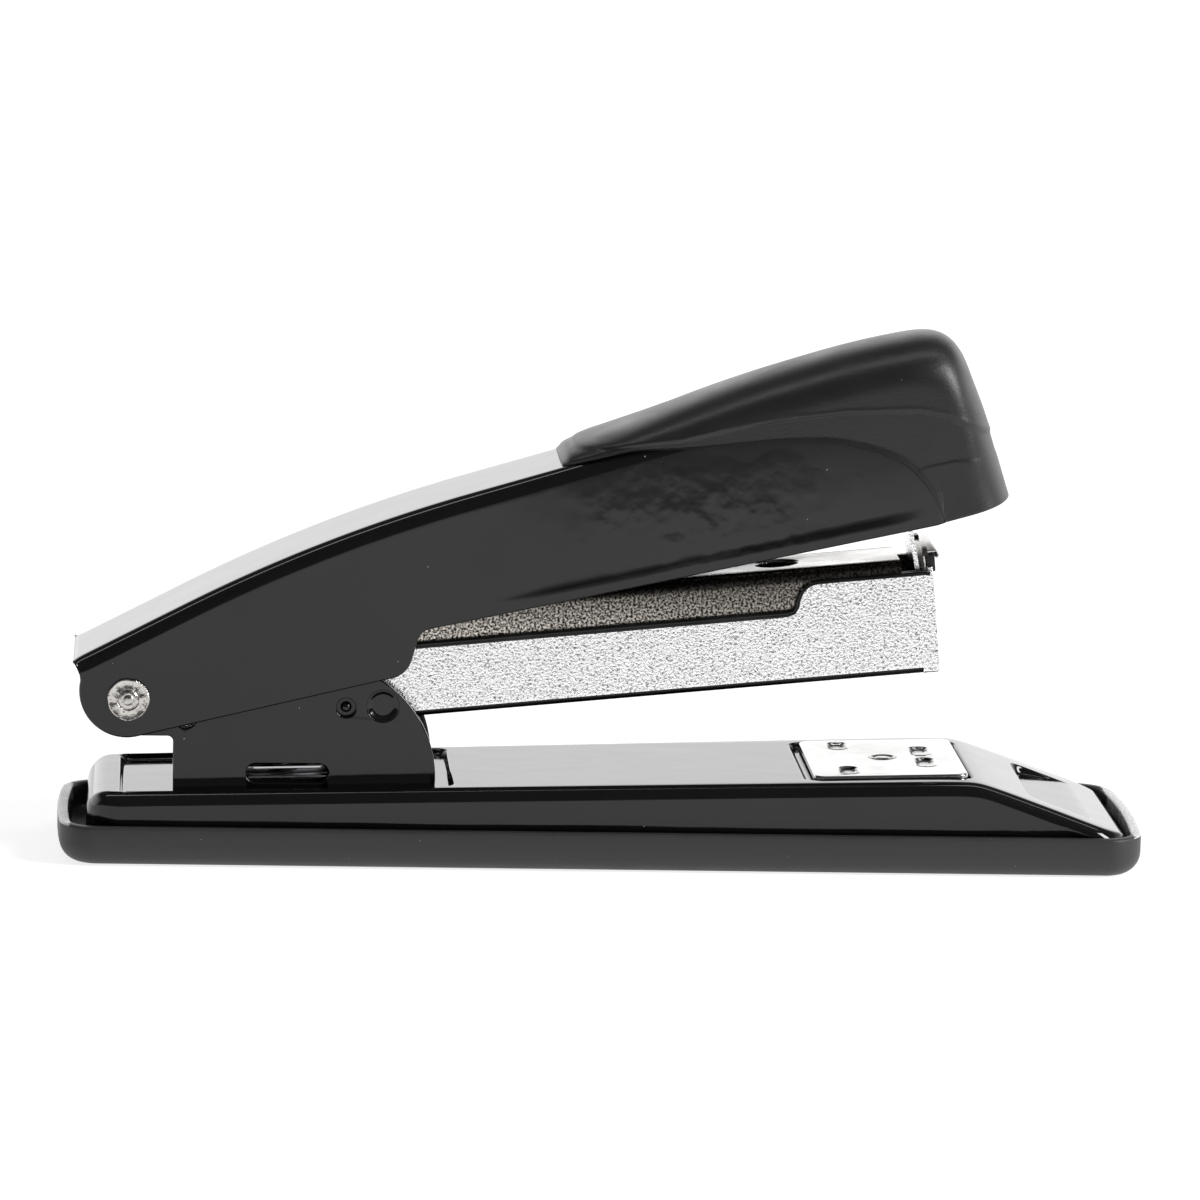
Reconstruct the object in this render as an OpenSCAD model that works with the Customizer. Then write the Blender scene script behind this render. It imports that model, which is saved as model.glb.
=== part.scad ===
// Full-metal desktop stapler for 24/6 staples, in millimetres.
// +X runs to the nose, +Z up, and the object is the same on both sides of the XZ plane.
// The origin is on the table, under the middle of the rubber sole.

/* [Sole] */
// Length of the whole stapler, which is the sole's length
sole_l = 148.2; // [148:0.1:149]
// Width of the sole at its front end
sole_front_w = 39.2; // [38.8:0.1:40]
// Width of the sole at its rear end
sole_rear_w = 33.2; // [32.8:0.1:34]
// Height of the sole's rim
sole_h = 5.5; // [5.2:0.1:5.8]
// Thickness of the sole's floor
sole_floor = 2; // [1.6:0.1:2.2]
// Thickness of the sole's rim
sole_rim = 1.5; // [1.3:0.1:1.6]

/* [Base] */
// Height of the base's top face where it begins, at the rear
base_rear_h = 9.9; // [9.6:0.1:10]
// Slope of the base's top face, in degrees
base_slope = 1.46; // [1.3:0.02:1.6]
// Where the front ramp begins
ramp_x = 50; // [49.6:0.1:50.6]
// Height of the ramp's front end
ramp_toe_h = 5.1; // [5:0.1:5.3]
// Thickness of the base's sheet steel
base_sheet = 1; // [0.8:0.1:1.1]

/* [Hinge] */
// Distance of the hinge pin behind the middle of the sole
pin_back = 65.4; // [65.2:0.1:65.6]
// Height of the hinge pin above the table
pin_h = 22; // [21.8:0.1:22.3]
// Diameter of the hinge pin
pin_d = 2.75; // [2.6:0.05:2.8]
// Diameter of the washers under the pin's heads
washer_d = 5.6; // [5.2:0.1:6]
// Thickness of the hinge bracket's steel
bracket_sheet = 1.1; // [1:0.05:1.15]

/* [Magazine] */
// How far the resting magazine points up, in degrees
magazine_tilt = 5.5; // [5.4:0.05:5.6]
// Distance from the hinge pin to the front of the magazine
magazine_reach = 110; // [109.9:0.05:110.1]
// Outer width of the magazine's channel
channel_w = 15.5; // [15.4:0.05:15.55]
// Thickness of the channel's steel
channel_sheet = 0.6; // [0.55:0.05:0.6]
// Length of the strip of staples that is loaded
strip_l = 68; // [40:1:70]

/* [Handle] */
// Outer width of the handle
handle_w = 20.8; // [20.7:0.05:21]
// Thickness of the handle's sheet steel
handle_sheet = 1; // [0.9:0.05:1]
// Outer radius of the handle's top edges
handle_edge_r = 2.1; // [1.8:0.1:2.3]
// Stroke of the handle from rest to fully pressed, in degrees
press_stroke = 6; // [5.8:0.1:6]

/* [Hidden] */

$fn = 48;
eps = 0.01;
big = 200;
press_gap = 0.02;    // between pieces that are pressed or riveted together
running_gap = 0.06;  // radial, between the pin and the bores that turn on it

// Sole and base outlines in plan; X is drawn from a point 75 mm in front of the sole's rear end
sole_rear_x = -75;
plan_r = 5;
sole_edge_r = 3;
base_side_gap = 0.05;
base_rear_x = -71;
base_toe_x = 70.8;
base_bottom = sole_floor + 0.05;
rear_edge_r = 3;
top_edge_r = 1.8;
side_lean = 0.4;
button_hole_r = 8;

// Features pressed into the base's top face
bracket_pocket_x = [-66.3, -21.5];
anvil_pocket_x = [26.7, 49.4];
pocket_half_w = 13;
scoop_half_w = 11.8;
pocket_depth = 0.8;
anvil_pocket_depth = 0.75;
scoop_x = 57.7;
scoop_l = 8;
scoop_depth = 1.2;
scoop_tilt = 11;
scoop_drop = 2.6;

// Ends of the hinge pin
pin_end = 0.85;
washer_t = 0.5;
washer_gap = 0.05;

// Hinge bracket
bracket_half_w = 9.1;
bracket_rear_x = -59.3;
lug_r = 5.3;
arc_x = -39.86;
arc_z = 11.1;
arc_r = 16.2;
window_x = -43.8;
window_l = 11.2;
window_h = 2.6;
detent_x = -35.9;
detent_z = 20.8;
detent_hole_r = 1.32;
detent_pin_r = 0.8;
dimple_x = -30.9;
dimple_z = 21.1;
dimple_r = 2.15;
side_hole = [-57.6, 19.2];
side_hole_r = 1.4;
bracket_foot_x = -24.6;
rivet_r = 1.5;
rivet_head_r = 2.4;
rivet_head_h = 0.7;
bracket_rivet_x = [-55, -44, -33];
leaf_half_w = 5.5;
leaf_sheet = 0.4;
leaf_rear_x = -51;
leaf_foot_x = -38;
leaf_front_x = -26.5;
leaf_bend_r = 0.85;
leaf_rise = 7;

// Anvil
anvil_x = 38.4;
anvil_l = 21.1;
anvil_w = 25.4;
anvil_sheet = 0.8;
anvil_proud = 0.35;
anvil_corner_r = 1.4;
stud_r = 1.9;
button_r = 5.5;
button_h = 1.6;
button_z = 2.6;
anvil_coil_r = 3;
anvil_wire_r = 0.3;
anvil_turns = 5;
groove_offset = 5.5;
clinch_y = [0.9, 7];
pin_groove_y = [5.9, 10.8];
groove_w = 2.3;
groove_depth = 0.4;

// Magazine, in the frame of the hinge pin turned up by magazine_tilt
pin_x = -pin_back;
pin_z = pin_h;
channel_half = channel_w / 2;
channel_inner = channel_half - channel_sheet;
channel_rear = 7;
channel_lug_r = 4.4;
channel_bottom = -6.35;
channel_floor = channel_bottom + channel_sheet;
low_wall_z = 3.85;
high_wall_z = 7.75;
step_x = 91.25;
step_r = 3.25;
slot_x = [108.2, 109.3];
front_sheet = 0.65;
hook_half_w = 1.5;
hook_sheet = 0.5;
hook_rise = 2.2;
hook_r = 1.6;
front_tab = [3.6, 2.4, 2.9];
rail_half = 5.8;
rail_sheet = 0.6;
rail_top = -0.3;
rail_rear = 8;
rail_front = 108;
rail_slot = [6, 88];
rail_slot_half = 1.1;
rail_rivet_x = [22, 60, 98];
rail_rivet_r = 0.9;
rod_z = -3.3;
rod_r = 0.8;
clip_r = 1.7;
clip_t = 0.5;
rail_tab = 0.8;
staple_half = 6.4;
staple_wire = 0.5;
staple_top = 0.3;
staple_leg = 6;
strip_front = 108.1;
pusher_front = strip_front - strip_l - 0.1;
pusher_l = 10;
nut_half_w = 3.4;
nut_h = 3.9;
spring_wire_r = 0.25;
pusher_spring_r = 1.9;
pusher_spring_turns = 22;

// Cover, in the magazine's frame
cover_half = 7.05;
cover_sheet = 0.75;
cover_top = 9.25;
cover_low = 0.8;
cover_shoulder_r = 1.8;
cover_rear = 7.8;
cover_front = 109.1;
blade_port_x = 106.2;
cover_hole_x = 89.7;
cover_hole_r = 2.85;
cover_lug_r = 4;
cover_lug_l = 12;
cover_lug_top = 3;
cover_rivet_r = 1.1;
spring_rivet_x = [16, 24];
spring_strip_w = 9;
spring_strip_t = 0.5;
spring_x = [13, 27, 41];
spring_rise = 11.2;

// Handle and cap
handle_half = handle_w / 2;
handle_rear_x = -72.8;
tail_angle = 27.5;
nose_angle = 16.5;
tail_line_x = -58;
tail_line_z = 34.8;
back_r = 219;
handle_depth = 32;
handle_tail_l = 22;
handle_nose_l = 80;
section_lap = 0.5;
lobe_x = -65.6;
lobe_z = 23.2;
lobe_r = 6.3;
heel_start = [-32.6, 25.1];
heel = [-30.6, 28.9];
heel_r = 3.6;
hollow = [-24.1, 29.9];
hollow_r = 2.4;
handle_chin = [46.2, 47.7];
handle_brow = [42.6, 69.5];
cap_wall = 1.2;
// Balls that the cap's form is stretched over: X, distance from the middle, Z and radius
cap_balls = [[-5.9, 5.4, 55.3, 1.6], [2, 9.4, 56, 1.5], [12, 7, 59.4, 4], [29, 6.4, 64.3, 5],
    [41.2, 5.8, 67.2, 5], [47.2, 7.1, 51, 3.8]];
cap_front = [49.9, 3.6, 46.2];
cap_front_r = 4.2;
cap_rivet_x = [12, 39.2];
cap_boss_h = [3.4, 3.7];
cap_boss_r = 2.4;
cap_head_r = 1.9;
cap_head_h = 0.9;
cap_shank_l = 3.4;
mount_rivet_x = [18.5, 28];
roof_rivet_r = 1.2;

// Driver, in the hinge pin's frame at the fully pressed angle
blade_x = 108.35;
blade_sheet = 0.6;
blade_half_w = 6.15;
blade_tip_z = -6.4;
blade_top_z = 20;
driver_rivet_y = 3.5;
driver_rivet_z = 17;
driver_rivet_r = 1.1;
mount_low_z = 13.5;
mount_sheet = 1;
mount_half_w = 7.5;
mount_wall_half_w = 7.2;
mount_l = 22.2;

function base_top(x) = base_rear_h + (x + 62) * tan(base_slope);
function sole_half(x) =
    (sole_rear_w + (sole_front_w - sole_rear_w) * (x - sole_rear_x) / sole_l) / 2;
function base_half(x) = sole_half(x) - sole_rim - base_side_gap;
function arc_points(cx, cz, r, from, to, steps) =
    [for (i = [0:steps]) let (a = from + (to - from) * i / steps) [cx + r * cos(a), cz + r * sin(a)]];

// Outer face of the handle's top: a straight tail, a long bend and a straight nose
bend_x = tail_line_x + back_r * sin(tail_angle);
bend_z = tail_line_z - back_r * cos(tail_angle);
nose_line_x = bend_x - back_r * sin(nose_angle);
nose_line_z = bend_z + back_r * cos(nose_angle);
function handle_top(x) =
    x < tail_line_x ? tail_line_z + (x - tail_line_x) * tan(tail_angle)
    : x < nose_line_x ? bend_z + sqrt(back_r * back_r - (x - bend_x) * (x - bend_x))
    : nose_line_z + (x - nose_line_x) * tan(nose_angle);

// A shape drawn in X and Z, made solid from y0 to y1
module across(y0, y1) translate([0, y1, 0]) rotate([90, 0, 0]) linear_extrude(y1 - y0) children();

// Moves a piece so that X is zero under the middle of the sole
module centred() translate([-sole_rear_x - sole_l / 2, 0, 0]) children();

// The same shape as a plate on each side of the middle plane
module both_sides() for (side = [0, 1]) mirror([0, side, 0]) children();

// A cylinder that starts at y and runs h towards the middle plane
module from_side(x, y, z, h, r) translate([x, y, z]) rotate([90, 0, 0]) cylinder(h = h, r = r);

// The frame of the hinge pin, turned up by an angle
module on_pin(angle) translate([pin_x, 0, pin_z]) rotate([0, -angle, 0]) children();

module on_magazine() on_pin(magazine_tilt) children();

// The frame of the base's sloping top face, with its origin under x
module on_base_top(x) translate([x, 0, base_top(x)]) rotate([0, -base_slope, 0]) children();

module rounded_plate(l, w, h, r) {
    for (x = [-1, 1], y = [-1, 1]) translate([x * (l / 2 - r), y * (w / 2 - r), 0]) cylinder(h = h, r = r);
    translate([-l / 2 + r, -w / 2, 0]) cube([l - 2 * r, w, h]);
    translate([-l / 2, -w / 2 + r, 0]) cube([l, w - 2 * r, h]);
}

// A rivet that stands on its lower head, with a shank of height h between the heads
module rivet(r, head_r, head_h, h) {
    translate([0, 0, -head_h]) cylinder(h = head_h, r1 = head_r - 0.5, r2 = head_r);
    cylinder(h = h, r = r - press_gap);
    translate([0, 0, h]) cylinder(h = head_h, r1 = head_r, r2 = head_r - 0.5);
}

// Four upright corner posts that follow the sole's taper, for a hull
module plan_corners(inset, z, h) for (end = [0, 1], side = [-1, 1]) {
    corner_y = sole_half(sole_rear_x + end * sole_l) - plan_r;
    translate([sole_rear_x + plan_r + end * (sole_l - 2 * plan_r), side * corner_y, z])
        cylinder(h = h, r = plan_r - inset, $fn = 32);
}

module rubber_sole() color("#38383a") centred() difference() {
    hull() {
        plan_corners(0, sole_edge_r, sole_h - sole_edge_r);
        plan_corners(0.3 * sole_edge_r, 0.3 * sole_edge_r, 1);
        plan_corners(0.87 * sole_edge_r, 0, 1);
    }
    hull() plan_corners(sole_rim, sole_floor, sole_h);
    translate([anvil_x, 0, -1]) cylinder(h = sole_h, r = button_hole_r);
}

// The base as a solid block, shrunk by inset all round except at its open bottom
module base_form(inset, bottom) hull() for (side = [-1, 1]) {
    translate([base_rear_x + plan_r, side * (base_half(base_rear_x) - plan_r), bottom])
        cylinder(h = 1, r = plan_r - inset, $fn = 32);
    translate([base_toe_x - plan_r, side * (base_half(base_toe_x) - plan_r), bottom])
        cylinder(h = ramp_toe_h - inset - bottom, r = plan_r - inset, $fn = 32);
    translate([base_rear_x + 1 + rear_edge_r, side * (base_half(base_rear_x) - side_lean - rear_edge_r),
        base_top(base_rear_x) - rear_edge_r]) sphere(r = rear_edge_r - inset, $fn = 32);
    translate([ramp_x - 0.4, side * (base_half(ramp_x) - side_lean - top_edge_r),
        base_top(ramp_x) - top_edge_r]) sphere(r = top_edge_r - inset, $fn = 32);
}

// The pockets pressed down into the top face, grown by the sheet's thickness for their undersides
module base_pockets(grow) {
    on_base_top(bracket_pocket_x[0]) translate([-grow, -pocket_half_w - grow, -pocket_depth - grow])
        cube([bracket_pocket_x[1] - bracket_pocket_x[0] + 2 * grow, 2 * (pocket_half_w + grow), big]);
    on_base_top(anvil_pocket_x[0]) translate([-grow, -pocket_half_w - grow, -anvil_pocket_depth - grow])
        cube([anvil_pocket_x[1] - anvil_pocket_x[0] + 2 * grow, 2 * (pocket_half_w + grow), big]);
    translate([scoop_x - grow, -scoop_half_w - grow, base_top(ramp_x) - grow]) rotate([0, scoop_tilt, 0])
        translate([0, 0, -scoop_depth - scoop_drop])
            cube([scoop_l + 2 * grow, 2 * (scoop_half_w + grow), big]);
}

module bracket_rivet_holes(r) for (x = bracket_rivet_x) on_base_top(x)
    translate([0, 0, -3]) cylinder(h = 6, r = r);

module base_shell() color("#19191a") centred() difference() {
    base_form(0, base_bottom);
    difference() {
        base_form(base_sheet, base_bottom - 1);
        base_pockets(base_sheet);
    }
    base_pockets(0);
    bracket_rivet_holes(rivet_r);
    on_base_top(anvil_x) translate([0, 0, -big / 2]) cylinder(h = big, r = stud_r + 0.1);
}

// One side of the bracket: a lug on the pin, an arm, and a body with a curved front edge
module bracket_side() difference() {
    union() {
        translate([pin_x, pin_z]) circle(r = lug_r);
        translate([pin_x, pin_z - lug_r]) square([arc_x - pin_x, 2 * lug_r]);
        translate([bracket_rear_x, base_top(bracket_rear_x) - pocket_depth])
            square([arc_x - bracket_rear_x, pin_z - base_rear_h]);
        intersection() {
            translate([arc_x, arc_z]) circle(r = arc_r, $fn = 96);
            translate([arc_x - 1, base_top(arc_x) - pocket_depth]) square([big, big]);
        }
    }
    polygon([[bracket_rear_x - 1, 0], [0, 0], [0, base_top(0) - pocket_depth + press_gap],
        [bracket_rear_x - 1, base_top(bracket_rear_x - 1) - pocket_depth + press_gap]]);
    translate([pin_x, pin_z]) circle(r = pin_d / 2 + press_gap);
    hull() for (end = [-1, 1])
        translate([window_x + end * (window_l - window_h) / 2, base_top(window_x) + window_h / 2])
            circle(r = window_h / 2, $fn = 32);
    translate(side_hole) circle(r = side_hole_r);
}

module hinge_bracket() color("#1d1d1e") centred() {
    difference() {
        both_sides() across(bracket_half_w - bracket_sheet, bracket_half_w) bracket_side();
        both_sides() {
            from_side(detent_x, bracket_half_w + eps, detent_z, 0.7, detent_hole_r);
            from_side(detent_x, bracket_half_w + 1, detent_z, 3, detent_pin_r + press_gap);
            from_side(dimple_x, bracket_half_w + eps, dimple_z, 0.5, dimple_r);
        }
    }
    difference() {
        on_base_top(bracket_rear_x) translate([0, -bracket_half_w + eps, press_gap - pocket_depth])
            cube([bracket_foot_x - bracket_rear_x, 2 * (bracket_half_w - eps), bracket_sheet]);
        bracket_rivet_holes(rivet_r);
    }
}

// The middle rivet also holds the foot of the lift spring
module bracket_rivets() color("silver") centred() for (i = [0:2]) on_base_top(bracket_rivet_x[i])
    translate([0, 0, -pocket_depth - base_sheet - press_gap])
        rivet(rivet_r, rivet_head_r, rivet_head_h,
            base_sheet + bracket_sheet + 3 * press_gap + (i == 1 ? leaf_sheet + 0.08 : 0));

module detent_pins() color("#1d1d1e") centred() both_sides()
    from_side(detent_x, bracket_half_w, detent_z, bracket_sheet, detent_pin_r);

// Leaf spring under the magazine: a flat foot, a hairpin at the rear and a rising tongue
foot_z = base_top(leaf_rear_x) - pocket_depth + bracket_sheet + 3 * press_gap;
module leaf(line, t) polygon(concat(line, [for (i = [len(line) - 1:-1:0]) line[i] + [0, t]]));

module lift_spring() color("silver") centred() {
    difference() {
        across(-leaf_half_w, leaf_half_w) leaf([for (x = [leaf_rear_x, leaf_foot_x])
            [x, foot_z + (x - leaf_rear_x) * tan(base_slope)]], leaf_sheet);
        bracket_rivet_holes(rivet_r);
    }
    across(-leaf_half_w, leaf_half_w) difference() {
        translate([leaf_rear_x, foot_z + leaf_bend_r]) circle(r = leaf_bend_r);
        translate([leaf_rear_x, foot_z + leaf_bend_r]) circle(r = leaf_bend_r - leaf_sheet);
        translate([leaf_rear_x, 0]) square([big, big]);
    }
    difference() {
        across(-leaf_half_w, leaf_half_w) leaf([for (t = [0:1 / 12:1])
            [leaf_rear_x + t * (leaf_front_x - leaf_rear_x),
            foot_z + 2 * leaf_bend_r - leaf_sheet + leaf_rise * t * t]], leaf_sheet);
        translate([bracket_rivet_x[1], 0, 0]) cylinder(h = big, r = rivet_head_r + 0.4);
    }
}

module hinge_pin() color("silver") centred() rotate([90, 0, 0])
    translate([pin_x, pin_z, -handle_half - pin_end])
        cylinder(h = 2 * (handle_half + pin_end), r = pin_d / 2);

module pin_washers() color("silver") centred() both_sides() difference() {
    translate([pin_x, handle_half + washer_gap + washer_t, pin_z]) rotate([90, 0, 0])
        cylinder(h = washer_t, r = washer_d / 2);
    translate([pin_x, handle_half + 1, pin_z]) rotate([90, 0, 0]) cylinder(h = 2, r = pin_d / 2 + press_gap);
}

// A pair of shallow grooves that guide the legs of a staple
module groove_pair(x, reach) both_sides()
    translate([x - groove_w / 2, reach[0], anvil_proud - groove_depth])
        cube([groove_w, reach[1] - reach[0], 1]);

module anvil_plate() color("#d8d8d8") centred() on_base_top(anvil_x) difference() {
    translate([0, 0, anvil_proud - anvil_sheet])
        rounded_plate(anvil_l, anvil_w, anvil_sheet, anvil_corner_r);
    groove_pair(groove_offset, clinch_y);
    groove_pair(-groove_offset, pin_groove_y);
    translate([0, 0, -big / 2]) cylinder(h = big, r = stud_r + press_gap);
}

module anvil_button() color("silver") centred() {
    on_base_top(anvil_x) translate([0, 0, button_z + 0.5 - base_top(anvil_x)])
        cylinder(h = base_top(anvil_x) - button_z - 0.5 + anvil_proud, r = stud_r);
    translate([anvil_x, 0, button_z]) cylinder(h = button_h, r = button_r);
}

// A coil of round wire as a stack of rings, along +Z
module coil(r, wire_r, turns, l) for (i = [0:turns - 1])
    translate([0, 0, wire_r + i * (l - 2 * wire_r) / (turns - 1)])
        rotate_extrude() translate([r, 0]) circle(r = wire_r, $fn = 16);

module anvil_spring() color("silver") centred() translate([anvil_x, 0, button_z + button_h + 0.1])
    coil(anvil_coil_r, anvil_wire_r, anvil_turns,
        base_top(anvil_x) - anvil_pocket_depth - base_sheet - button_z - button_h - 0.35);

// One wall of the magazine's channel: a lug on the pin, a low wall and a high front with a curved step
module channel_wall() difference() {
    union() {
        circle(r = channel_lug_r);
        translate([0, -channel_lug_r]) square([channel_rear + 1, channel_lug_r + low_wall_z]);
        translate([channel_rear, channel_bottom])
            square([step_x - channel_rear + 1, low_wall_z - channel_bottom]);
        translate([step_x + step_r, high_wall_z - step_r]) circle(r = step_r);
        translate([step_x, channel_bottom])
            square([magazine_reach - step_x, high_wall_z - step_r - channel_bottom]);
        translate([step_x + step_r, channel_bottom])
            square([magazine_reach - step_x - step_r, high_wall_z - channel_bottom]);
    }
    circle(r = pin_d / 2 + running_gap);
}

module channel_rivets(h, r) for (x = rail_rivet_x)
    translate([x, 0, channel_bottom - eps]) cylinder(h = h, r = r);

module magazine_channel() color("#e2e2e2") centred() on_magazine() {
    both_sides() across(channel_inner, channel_half) channel_wall();
    difference() {
        translate([channel_rear, -channel_inner - eps, channel_bottom])
            cube([slot_x[0] - channel_rear, 2 * (channel_inner + eps), channel_sheet]);
        channel_rivets(2, rail_rivet_r);
    }
}

// Closes the channel's front; the staple and the driver pass just behind it
module front_plate() color("#e2e2e2") centred() on_magazine() {
    translate([slot_x[1] + 0.02, -channel_inner + 0.02, channel_bottom])
        cube([front_sheet, 2 * (channel_inner - 0.02), high_wall_z + 0.7 - channel_bottom]);
    both_sides() translate([slot_x[1] + 0.02, front_tab[0], high_wall_z])
        cube([front_sheet, front_tab[1], front_tab[2]]);
}

// A tongue of the front plate that curls forward and up, to pull the magazine open by
module front_hook() color("#303030") centred() on_magazine() across(-hook_half_w, hook_half_w) {
    hook_x = slot_x[1] + 0.03;
    hook_z = high_wall_z + 0.71;
    translate([hook_x, hook_z]) square([hook_sheet, hook_rise]);
    translate([hook_x + hook_r, hook_z + hook_rise]) difference() {
        circle(r = hook_r);
        circle(r = hook_r - hook_sheet);
        translate([-hook_r, -2 * hook_r]) square(2 * hook_r);
    }
}

// The staples straddle this inverted channel, and the pusher's rod and spring lie inside it
module staple_rail() color("#b9b9b6") centred() on_magazine() difference() {
    translate([rail_rear, -rail_half, channel_floor + press_gap])
        cube([rail_front - rail_rear, 2 * rail_half, rail_top - channel_floor - press_gap]);
    translate([rail_rear + rail_tab, -rail_half + rail_sheet, channel_floor - 1])
        cube([rail_front - rail_rear - 2 * rail_tab, 2 * (rail_half - rail_sheet),
            rail_top - rail_sheet - channel_floor + 1]);
    translate([rail_rear + rail_slot[0], -rail_slot_half, rail_top - 1])
        cube([rail_slot[1], 2 * rail_slot_half, 2]);
    translate([0, 0, rod_z]) rotate([0, 90, 0]) cylinder(h = big, r = rod_r + press_gap);
}

// Feet that clinch the rail's ends to the channel's floor
module rail_rivets() color("silver") centred() on_magazine() {
    channel_rivets(channel_sheet + 0.4, rail_rivet_r - press_gap);
    for (x = rail_rivet_x) translate([x, 0, channel_floor + press_gap]) cylinder(h = 0.4, r = 1.5);
}

module guide_rod() color("silver") centred() on_magazine()
    translate([rail_rear - 1.2, 0, rod_z]) rotate([0, 90, 0])
        cylinder(h = rail_front - rail_rear + 1.15, r = rod_r);

module rod_clips() color("silver") centred() on_magazine()
    for (x = [rail_rear - 0.55, rail_rear + rail_tab + 0.05])
        translate([x, 0, rod_z]) rotate([0, 90, 0]) difference() {
            cylinder(h = clip_t, r = clip_r);
            translate([0, 0, -1]) cylinder(h = 3, r = rod_r + press_gap);
        }

module pusher_spring() color("silver") centred() on_magazine() translate([rail_rear + 1.5, 0, rod_z])
    rotate([0, 90, 0]) coil(pusher_spring_r - spring_wire_r, spring_wire_r, pusher_spring_turns,
        pusher_front - pusher_l - rail_rear - 1.6);

// The loaded staples, glued side by side
module staple_strip() color("#cfcfcf") centred() on_magazine()
    translate([strip_front - strip_l, 0, 0]) difference() {
    translate([0, -staple_half, staple_top - staple_leg]) cube([strip_l, 2 * staple_half, staple_leg]);
    translate([-1, -staple_half + staple_wire, staple_top - staple_leg - 1])
        cube([strip_l + 2, 2 * (staple_half - staple_wire), staple_leg + 1 - staple_wire]);
}

// Saddle behind the staples, with a web through the rail's slot and a nut that slides on the rod
module pusher() color("#9a9a98") centred() on_magazine() translate([pusher_front - pusher_l, 0, 0]) {
    difference() {
        translate([0, -staple_half, staple_top - staple_leg + 0.1])
            cube([pusher_l, 2 * staple_half, staple_leg + 0.3]);
        translate([-1, -staple_half + staple_wire, -staple_leg])
            cube([pusher_l + 2, 2 * (staple_half - staple_wire), staple_leg + staple_top - staple_wire]);
    }
    translate([1, -rail_slot_half + 0.2, rail_top - rail_sheet - 0.6])
        cube([pusher_l - 2, 2 * rail_slot_half - 0.4, 1.4]);
    difference() {
        translate([0, -nut_half_w, rod_z - clip_r]) cube([pusher_l, 2 * nut_half_w, nut_h]);
        translate([-1, 0, rod_z]) rotate([0, 90, 0]) cylinder(h = pusher_l + 2, r = rod_r + running_gap);
    }
}

// Section of the cover: an inverted channel with rounded shoulders
module cover_section(grow) {
    r = cover_shoulder_r - grow;
    hull() {
        for (side = [-1, 1])
            translate([side * (cover_half - grow - r), cover_top - grow - r]) circle(r = r, $fn = 32);
        translate([-cover_half + grow, cover_low - 4 * (grow + 1)]) square([2 * (cover_half - grow), 1]);
    }
}

module cover_bar(from, to, grow) translate([from, 0, 0])
    rotate([90, 0, 90]) linear_extrude(to - from) cover_section(grow);

module magazine_cover() color("#8f8d88") centred() on_magazine() {
    difference() {
        cover_bar(cover_rear, cover_front, 0);
        cover_bar(cover_rear - 1, cover_front + 1, cover_sheet);
        translate([0, -big / 2, cover_low - big]) cube([big, big, big]);
        translate([blade_port_x, cover_sheet - cover_half, cover_top - cover_shoulder_r])
            cube([big, 2 * (cover_half - cover_sheet), big]);
        translate([cover_hole_x, 0, 0]) cylinder(h = big, r = cover_hole_r);
        spring_rivet_holes();
    }
    both_sides() across(cover_half - cover_sheet, cover_half) difference() {
        union() {
            circle(r = cover_lug_r);
            translate([0, -cover_lug_r]) square([cover_lug_l, cover_lug_r + cover_lug_top]);
        }
        circle(r = pin_d / 2 + running_gap);
    }
}

// Leaf spring that lifts the handle off the cover
module spring_rivet_holes() for (x = spring_rivet_x)
    translate([x, 0, 0]) cylinder(h = big, r = cover_rivet_r);

module handle_spring() color("silver") centred() on_magazine() difference() {
    across(-spring_strip_w / 2, spring_strip_w / 2) translate([0, cover_top + press_gap])
        leaf(concat([[spring_x[0], 0]], [for (t = [0:1 / 14:1])
            [spring_x[1] + t * (spring_x[2] - spring_x[1]), spring_rise * t * t]]), spring_strip_t);
    spring_rivet_holes();
}

module spring_rivets() color("silver") centred() on_magazine() for (x = spring_rivet_x)
    translate([x, 0, cover_top - cover_sheet - press_gap])
        rivet(cover_rivet_r, 1.8, 0.45, cover_sheet + spring_strip_t + 3 * press_gap);

// Section of the handle, with its top at zero: a block with two rounded top edges
module handle_section(out) {
    r = handle_edge_r - out;
    flat = handle_half - handle_edge_r;
    for (side = [-1, 1]) translate([side * flat, -handle_edge_r]) circle(r = r);
    translate([-flat, -handle_edge_r]) square([2 * flat, r]);
    translate([-flat - r, -handle_depth - out]) square([2 * (flat + r), handle_depth + out - handle_edge_r]);
}

// Carries sections along the handle's top: the first round the bend, the second along the straight
// tail and nose, which run a little way into the bend
module along_handle() {
    translate([bend_x, 0, bend_z]) rotate([90, 0, 0]) rotate([0, 0, 90 + nose_angle])
        rotate_extrude(angle = tail_angle - nose_angle, $fn = 720)
            translate([back_r, 0]) rotate(-90) children(0);
    translate([tail_line_x, 0, tail_line_z]) rotate([0, -tail_angle, 0]) translate([-handle_tail_l, 0, 0])
        rotate([90, 0, 90]) linear_extrude(handle_tail_l + section_lap) children(1);
    translate([nose_line_x, 0, nose_line_z]) rotate([0, -nose_angle, 0]) translate([-section_lap, 0, 0])
        rotate([90, 0, 90]) linear_extrude(handle_nose_l) children(1);
}

module handle_wall(inset) difference() {
    handle_section(inset);
    handle_section(handle_sheet - inset);
}

// Outline of the handle's side in X and Z, open above its top
module handle_side() polygon(concat(
    [[handle_rear_x, big], [handle_rear_x, 26.9], [handle_rear_x + 0.8, 25.4]],
    arc_points(lobe_x, lobe_z, lobe_r, 180, 284.6, 14),
    [heel_start],
    arc_points(heel[0], heel[1], heel_r, -85, -12, 7),
    arc_points(hollow[0], hollow[1], hollow_r, 180, 102.3, 6),
    [handle_chin, handle_brow, [handle_brow[0], big]]));

module on_roof(x) translate([x, 0, handle_top(x)]) rotate([0, -nose_angle, 0]) children();

module roof_holes(places, r) for (x = places) on_roof(x) translate([0, 0, -6]) cylinder(h = 12, r = r);

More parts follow.
